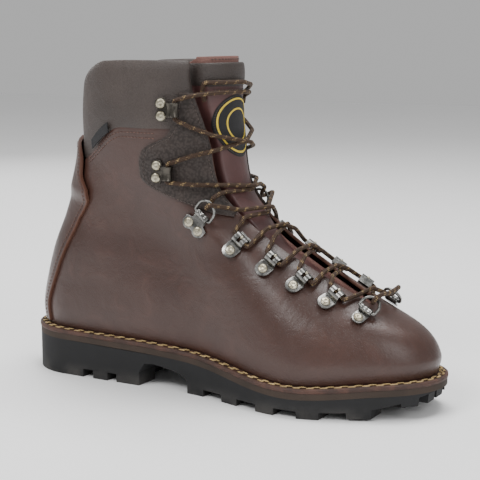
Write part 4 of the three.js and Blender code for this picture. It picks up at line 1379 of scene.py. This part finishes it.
def plate_metal(mesh, rivets, radius, tab_width, tab_end):
    """A flat plate with a lobe round each rivet and a straight tab; its top edge is bevelled."""
    corners = []
    for index, y in enumerate(reversed(rivets)):
        first = math.pi / 2 if index == 0 else math.pi * 0.72
        final = 1.5 * math.pi if index == len(rivets) - 1 else math.pi * 1.28
        corners += arc(0, y, radius, first, final, 12)
    reach = rivets[-1] + radius
    low = (radius * 0.7, -reach)
    corners += [low, (radius, -tab_width / 2), (tab_end, -tab_width / 2), (tab_end, tab_width / 2),
                (radius, tab_width / 2), (radius * 0.7, reach)]
    face = flat_face(mesh, corners)
    made = bmesh.ops.extrude_face_region(mesh, geom=[face])
    top = [item for item in made["geom"] if isinstance(item, bmesh.types.BMVert)]
    bmesh.ops.translate(mesh, verts=top, vec=(0, 0, SHEET_METAL * MM))
    rim = [edge for edge in mesh.edges if all(vert in top for vert in edge.verts)]
    bmesh.ops.bevel(mesh, geom=rim, offset=0.3 * MM, segments=2, profile=0.5, affect="EDGES",
                    material=-1, clamp_overlap=True)
    return outward(mesh)


def lathe(mesh, profile, steps, matrix=None):
    """Spins a profile of radius and height round the local Z axis."""
    verts = [mesh.verts.new(Vector((r, 0, z)) * MM) for r, z in profile]
    edges = [mesh.edges.new(pair) for pair in zip(verts, verts[1:])]
    made = bmesh.ops.spin(mesh, geom=verts + edges, cent=(0, 0, 0), axis=(0, 0, 1), angle=2 * math.pi,
                          steps=steps, use_merge=True)
    bmesh.ops.remove_doubles(mesh, verts=mesh.verts, dist=0.01 * MM)
    return outward(mesh)


def rivet_head():
    seat = SHEET_METAL + 0.05
    profile = [(0, seat - 0.2), (1.6, seat - 0.2), (RIVET_HEAD - 0.15, seat), (RIVET_HEAD, seat + 0.25),
               (RIVET_HEAD * 0.96, seat + 0.62), (RIVET_HEAD * 0.82, seat + 0.98),
               (RIVET_HEAD * 0.5, seat + 1.28), (RIVET_HEAD * 0.3, seat + 1.3),
               (RIVET_HEAD * 0.22, seat + 1.16), (0, seat + 1.12)]
    return lathe(bmesh.new(), profile, 28)


def bent_strip(path, width, slot=None, flare=0.0):
    """Sheet metal bent along a path, with a slot in its middle or flared sides."""
    line = curve_points([(x, 0, z) for x, z in path], 4)
    distance = np.concatenate([[0], np.cumsum(np.linalg.norm(np.diff(line, axis=0), axis=1))])
    steps = 40
    centre = np.array([8.9, 0, 3.7])
    sides = np.array([-0.5, -0.42, -0.13, 0.13, 0.42, 0.5]) * width

    def place(p, q):
        where = q * distance[-1]
        point = np.stack([np.interp(where, distance, line[:, k]) for k in range(3)], axis=-1)
        y = sides[np.rint(p * 5).astype(int)]
        spread = flare * (np.abs(y) / width * 2) ** 3 * smooth((q - 0.15) / 0.2)
        point = point + unit(point - centre) * spread[:, None]
        point[:, 1] = y
        return point

    def keep(p, q):
        where = np.interp(q * distance[-1], distance, line[:, 0])
        rise = np.interp(q * distance[-1], distance, line[:, 2])
        return ~((np.abs(p - 0.5) < 0.1) & (where > slot[0]) & (where < slot[1]) & (rise > 4.2))

    return grid(5, steps, place, keep if slot else None)


def added(mesh, other):
    data = bpy.data.meshes.new("part")
    other.to_mesh(data)
    other.free()
    mesh.from_mesh(data)
    bpy.data.meshes.remove(data)
    return mesh


def strip_solid(strip):
    """Gives a bent strip its thickness."""
    bmesh.ops.recalc_face_normals(strip, faces=strip.faces)
    bmesh.ops.solidify(strip, geom=strip.faces[:], thickness=SHEET_METAL * MM)
    return outward(strip)


def barrel(width):
    """The rolled barrel that holds a ring, ribbed along its knuckles."""
    groove = 0.22
    outer = []
    for i in range(25):
        y = lerp(-width / 2, width / 2, i / 24)
        rib = groove * (0.5 - 0.5 * math.cos(2 * math.pi * 3 * i / 24 + math.pi))
        outer.append((BARREL - rib * (0 < i < 24), y))
    profile = [(BARREL_BORE, -width / 2)] + outer + [(BARREL_BORE, width / 2), (BARREL_BORE, -width / 2)]
    mesh = lathe(bmesh.new(), profile, 28)
    return moved(mesh, Matrix.Rotation(math.pi / 2, 4, "X"))


def ring_path(half, length):
    corner = 1.8
    points = [(0, half * 0.55, 0), (0, 0, 0), (0, -half * 0.55, 0)]
    points += [(x, y, 0) for x, y in arc(corner, corner - half, corner, math.pi, 1.5 * math.pi, 4)]
    points += [(x, y, 0) for x, y in arc(length - half, 0, half, -math.pi / 2, math.pi / 2, 14)]
    points += [(x, y, 0) for x, y in arc(corner, half - corner, corner, math.pi / 2, math.pi, 4)]
    return curve_points(points, 3, closed=True)


def shifted(x, y, z):
    return Matrix.Translation(Vector((x, y, z)) * MM)


class BOOT_OT_fittings(Operator):
    """Makes the rings with their plates, the tunnel loops, the speed hooks and all rivets"""

    bl_idname = "boot.fittings"
    bl_label = "Fittings"

    def execute(self, context):
        for side, name in SIDES:
            for number, (base, tip) in enumerate(LOOPS, start=1):
                self.loop(seat_matrix(side, base, tip, LIFT), number, name)
            for fitting, (base, tip, lift) in FITTINGS.items():
                matrix = seat_matrix(side, base, tip, lift)
                if fitting == "toe":
                    self.ring_plate(matrix, "toe", name, [0], 4.6, 8, 9, 6.4, 10.5)
                elif fitting == "ankle":
                    self.ring_plate(matrix, "ankle", name, [-4.7, 4.7], 4.8, 10.4, 10.4, 7.2, 13)
                else:
                    self.hook(matrix, fitting, name)
        return {"FINISHED"}

    def rivet(self, matrix, name):
        piece(f"{name}_head", moved(rivet_head(), matrix), "root", FINISHES["rivet"],
              [name])

    def loop(self, matrix, number, name):
        mesh = plate_metal(bmesh.new(), [0], 5.5, 10, 5.4)
        added(mesh, strip_solid(bent_strip(LOOP_PATH, 9.6, slot=(6.9, 12.4))))
        made = piece(f"loop_metal_{number}_{name}", moved(mesh, matrix), "root",
                     FINISHES["nickel"], [f"loop_{number}_{name}"])
        rounded(made, 0.2, 2, 50)
        self.rivet(matrix, f"loop_rivet_{number}_{name}")
        # Painted highlight: a small sphere of the lighter rivet metal, put at the top end of each loop's
        # slot where a bright highlight shows
        highlight_bead = bmesh.new()
        bmesh.ops.create_uvsphere(highlight_bead, u_segments=16, v_segments=12, radius=MM)
        moved(highlight_bead, matrix @ shifted(11.3, 0, 5.5) @ Matrix.Diagonal((1.25, 1.3, 1.1, 1.0)))
        piece(f"loop_highlight_bead_{number}_{name}", highlight_bead, "root", FINISHES["rivet"])

    def ring_plate(self, matrix, kind, name, rivets, radius, barrel_x, width, half, length):
        mesh = plate_metal(bmesh.new(), rivets, radius, width, barrel_x - 0.4)
        added(mesh, moved(barrel(width), shifted(barrel_x, 0, BARREL)))
        piece(f"{kind}_plate_metal_{name}", moved(mesh, matrix), "root", FINISHES["nickel"],
              [f"{kind}_plate_{name}"])
        for y, letter in zip(rivets, ("a", "b")):
            node = f"{kind}_rivet_{name}" if len(rivets) == 1 else f"{kind}_rivet_{letter}_{name}"
            self.rivet(matrix @ shifted(0, y, 0), node)
        hinge = matrix @ shifted(barrel_x, 0, BARREL) @ Matrix.Rotation(RING_TILT, 4, "Y")
        wire = tube(ring_path(half, length), RING_WIRE - 0.08, 14, closed=True)
        node = f"{kind}_ring_{name}"
        piece(f"{kind}_ring_wire_{name}", moved(wire, hinge), node, FINISHES["nickel"], [node])

    def hook(self, matrix, kind, name):
        mesh = plate_metal(bmesh.new(), [-4.3, 4.3], 4.1, 9, 5.4)
        added(mesh, strip_solid(bent_strip(HOOK_PATH, 9.6, flare=0.8)))
        made = piece(f"{kind}_metal_{name}", moved(mesh, matrix), "root",
                     FINISHES["bronze"], [f"{kind}_{name}"])
        rounded(made, 0.2, 2, 50)
        for y, letter in ((-4.3, "a"), (4.3, "b")):
            node = f"{kind}_rivet_{letter}_{name}"
            self.rivet(matrix @ shifted(0, y, 0), node)


# ---- lace ----------------------------------------------------------------------------------------
# from the outer collar's edge down through every fitting and up again, in metres
LACE_ROUTE = [
    (.1110, -.0260, .2060), (.1102, -.0280, .2130), (.1115, -.0285, .2193), (.1180, -.0230, .2195),
    (.1275, .0000, .2195), (.1190, .0245, .2170), (.1090, .0370, .2130), (.0975, .0440, .2075),
    (.0970, .0430, .1945), (.1060, .0385, .1900), (.1185, .0275, .1840), (.1290, .0010, .1785),
    (.1200, -.0270, .1730), (.1080, -.0380, .1695), (.0910, -.0435, .1635), (.0900, -.0435, .1505),
    (.1100, -.0380, .1495), (.1235, -.0245, .1490), (.1365, .0000, .1470), (.1250, .0285, .1450),
    (.1240, .0370, .1415), (.1215, .0360, .1375), (.1205, .0390, .1345), (.1215, .0445, .1350),
    (.1265, .0445, .1375), (.1360, .0215, .1320), (.1470, .0010, .1285), (.1405, -.0210, .1275),
    (.1370, -.0310, .1175), (.1484, -.0318, .1082), (.1535, -.0145, .1193), (.1580, .0020, .1210),
    (.1605, .0160, .1160), (.1605, .0305, .1055), (.1720, .0320, .0980), (.1770, .0145, .1040),
    (.1815, -.0100, .1020), (.1830, -.0230, .0950), (.1950, -.0245, .0860), (.1965, -.0095, .0925),
    (.1990, .0040, .0950), (.2015, .0160, .0910), (.2045, .0270, .0845), (.2165, .0290, .0770),
    (.2210, .0165, .0780), (.2260, .0050, .0770), (.2315, -.0030, .0770), (.2320, -.0080, .0745),
    (.2335, -.0125, .0750), (.2365, -.0140, .0790), (.2385, -.0090, .0805), (.2390, .0050, .0795),
    (.2385, .0200, .0805), (.2360, .0255, .0795), (.2335, .0235, .0755), (.2320, .0190, .0745),
    (.2315, .0135, .0770), (.2260, .0045, .0815), (.2210, -.0060, .0785), (.2165, -.0205, .0765),
    (.2050, -.0185, .0845), (.2020, -.0080, .0900), (.1985, .0165, .0910), (.1940, .0310, .0870),
    (.1825, .0290, .0950), (.1815, .0160, .1020), (.1795, .0030, .1080), (.1760, -.0110, .1055),
    (.1722, -.0283, .0972), (.1605, -.0270, .1055), (.1605, -.0140, .1155), (.1540, .0165, .1193),
    (.1484, .0334, .1086), (.1370, .0320, .1175), (.1410, .0225, .1250), (.1500, .0010, .1330),
    (.1365, -.0210, .1320), (.1260, -.0455, .1375), (.1225, -.0445, .1350), (.1210, -.0395, .1345),
    (.1220, -.0360, .1375), (.1240, -.0365, .1415), (.1250, -.0265, .1440), (.1344, .0000, .1445),
    (.1235, .0255, .1495), (.1100, .0380, .1495), (.0900, .0420, .1505), (.0910, .0425, .1635),
    (.1080, .0375, .1695), (.1200, .0265, .1730), (.1332, .0000, .1775), (.1180, -.0280, .1835),
    (.1060, -.0385, .1895), (.0970, -.0435, .1945), (.0975, -.0440, .2075), (.1090, -.0370, .2110),
    (.1190, -.0245, .2125), (.1275, .0000, .2125), (.1190, .0225, .2115), (.1115, .0275, .2085),
    (.1114, .0264, .2030),
]


class BOOT_OT_lace(Operator):
    """Threads the round braided lace through the rings, loops and hooks"""

    bl_idname = "boot.lace"
    bl_label = "Lace"

    def execute(self, context):
        diameter = settings(context)[1].lace_diameter / MM
        line, _ = spaced(np.array(LACE_ROUTE) / MM, 0.55)
        for _ in range(10):
            line[1:-1] = (line[:-2] + 2 * line[1:-1] + line[2:]) / 4

        def relief(angle, along):
            return 0.9 + 0.05 * np.sin(4 * angle + along * np.pi) * np.sin(4 * angle - along * np.pi)

        cord = tube(line, diameter / 2, 20, relief=relief)
        piece("lace_cord", cord, "root", FINISHES["lace"], ["lace"])
        return {"FINISHED"}


class BOOT_OT_hidden_parts(Operator):
    """Gives the board, shank, stiffeners and footbed inside the boot their finishes"""

    bl_idname = "boot.hidden_parts"
    bl_label = "Hidden parts"

    def execute(self, context):
        inside = {"insole_board": "board", "toe_puff": "board", "heel_counter": "board",
                  "shank": "steel", "footbed": "lining"}
        for node, finish in inside.items():
            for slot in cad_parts[node].material_slots:
                slot.material = FINISHES[finish]
        return {"FINISHED"}


OPERATORS = (BOOT_OT_stage, BOOT_OT_sole, BOOT_OT_welt_stitching, BOOT_OT_upper, BOOT_OT_collar,
             BOOT_OT_facings, BOOT_OT_tongue, BOOT_OT_gussets, BOOT_OT_fittings, BOOT_OT_lace,
             BOOT_OT_hidden_parts)


class BOOT_PT_panel(Panel):
    """Lists the boot's colours, sizes and the steps that make it"""

    bl_idname = "BOOT_PT_panel"
    bl_label = "Mountaineering Boot"
    bl_space_type = "VIEW_3D"
    bl_region_type = "UI"
    bl_category = "Boot"

    def draw(self, context):
        for group in settings(context):
            box = self.layout.box()
            for name in group.bl_rna.properties.keys():
                if name not in ("rna_type", "name"):
                    box.prop(group, name)
        for operator in OPERATORS:
            self.layout.operator(operator.bl_idname)


CLASSES = (BootColours, BootSizes, *OPERATORS, BOOT_PT_panel)


def register():
    for cls in CLASSES:
        bpy.utils.register_class(cls)
    bpy.types.Scene.boot_colours = PointerProperty(type=BootColours)
    bpy.types.Scene.boot_sizes = PointerProperty(type=BootSizes)


def unregister():
    del bpy.types.Scene.boot_sizes
    del bpy.types.Scene.boot_colours
    for cls in reversed(CLASSES):
        bpy.utils.unregister_class(cls)


def main():
    register()
    make_finishes(bpy.context.scene.boot_colours)
    for operator in OPERATORS:
        group, name = operator.bl_idname.split(".")
        getattr(getattr(bpy.ops, group), name)()


if __name__ == "__main__":
    main()
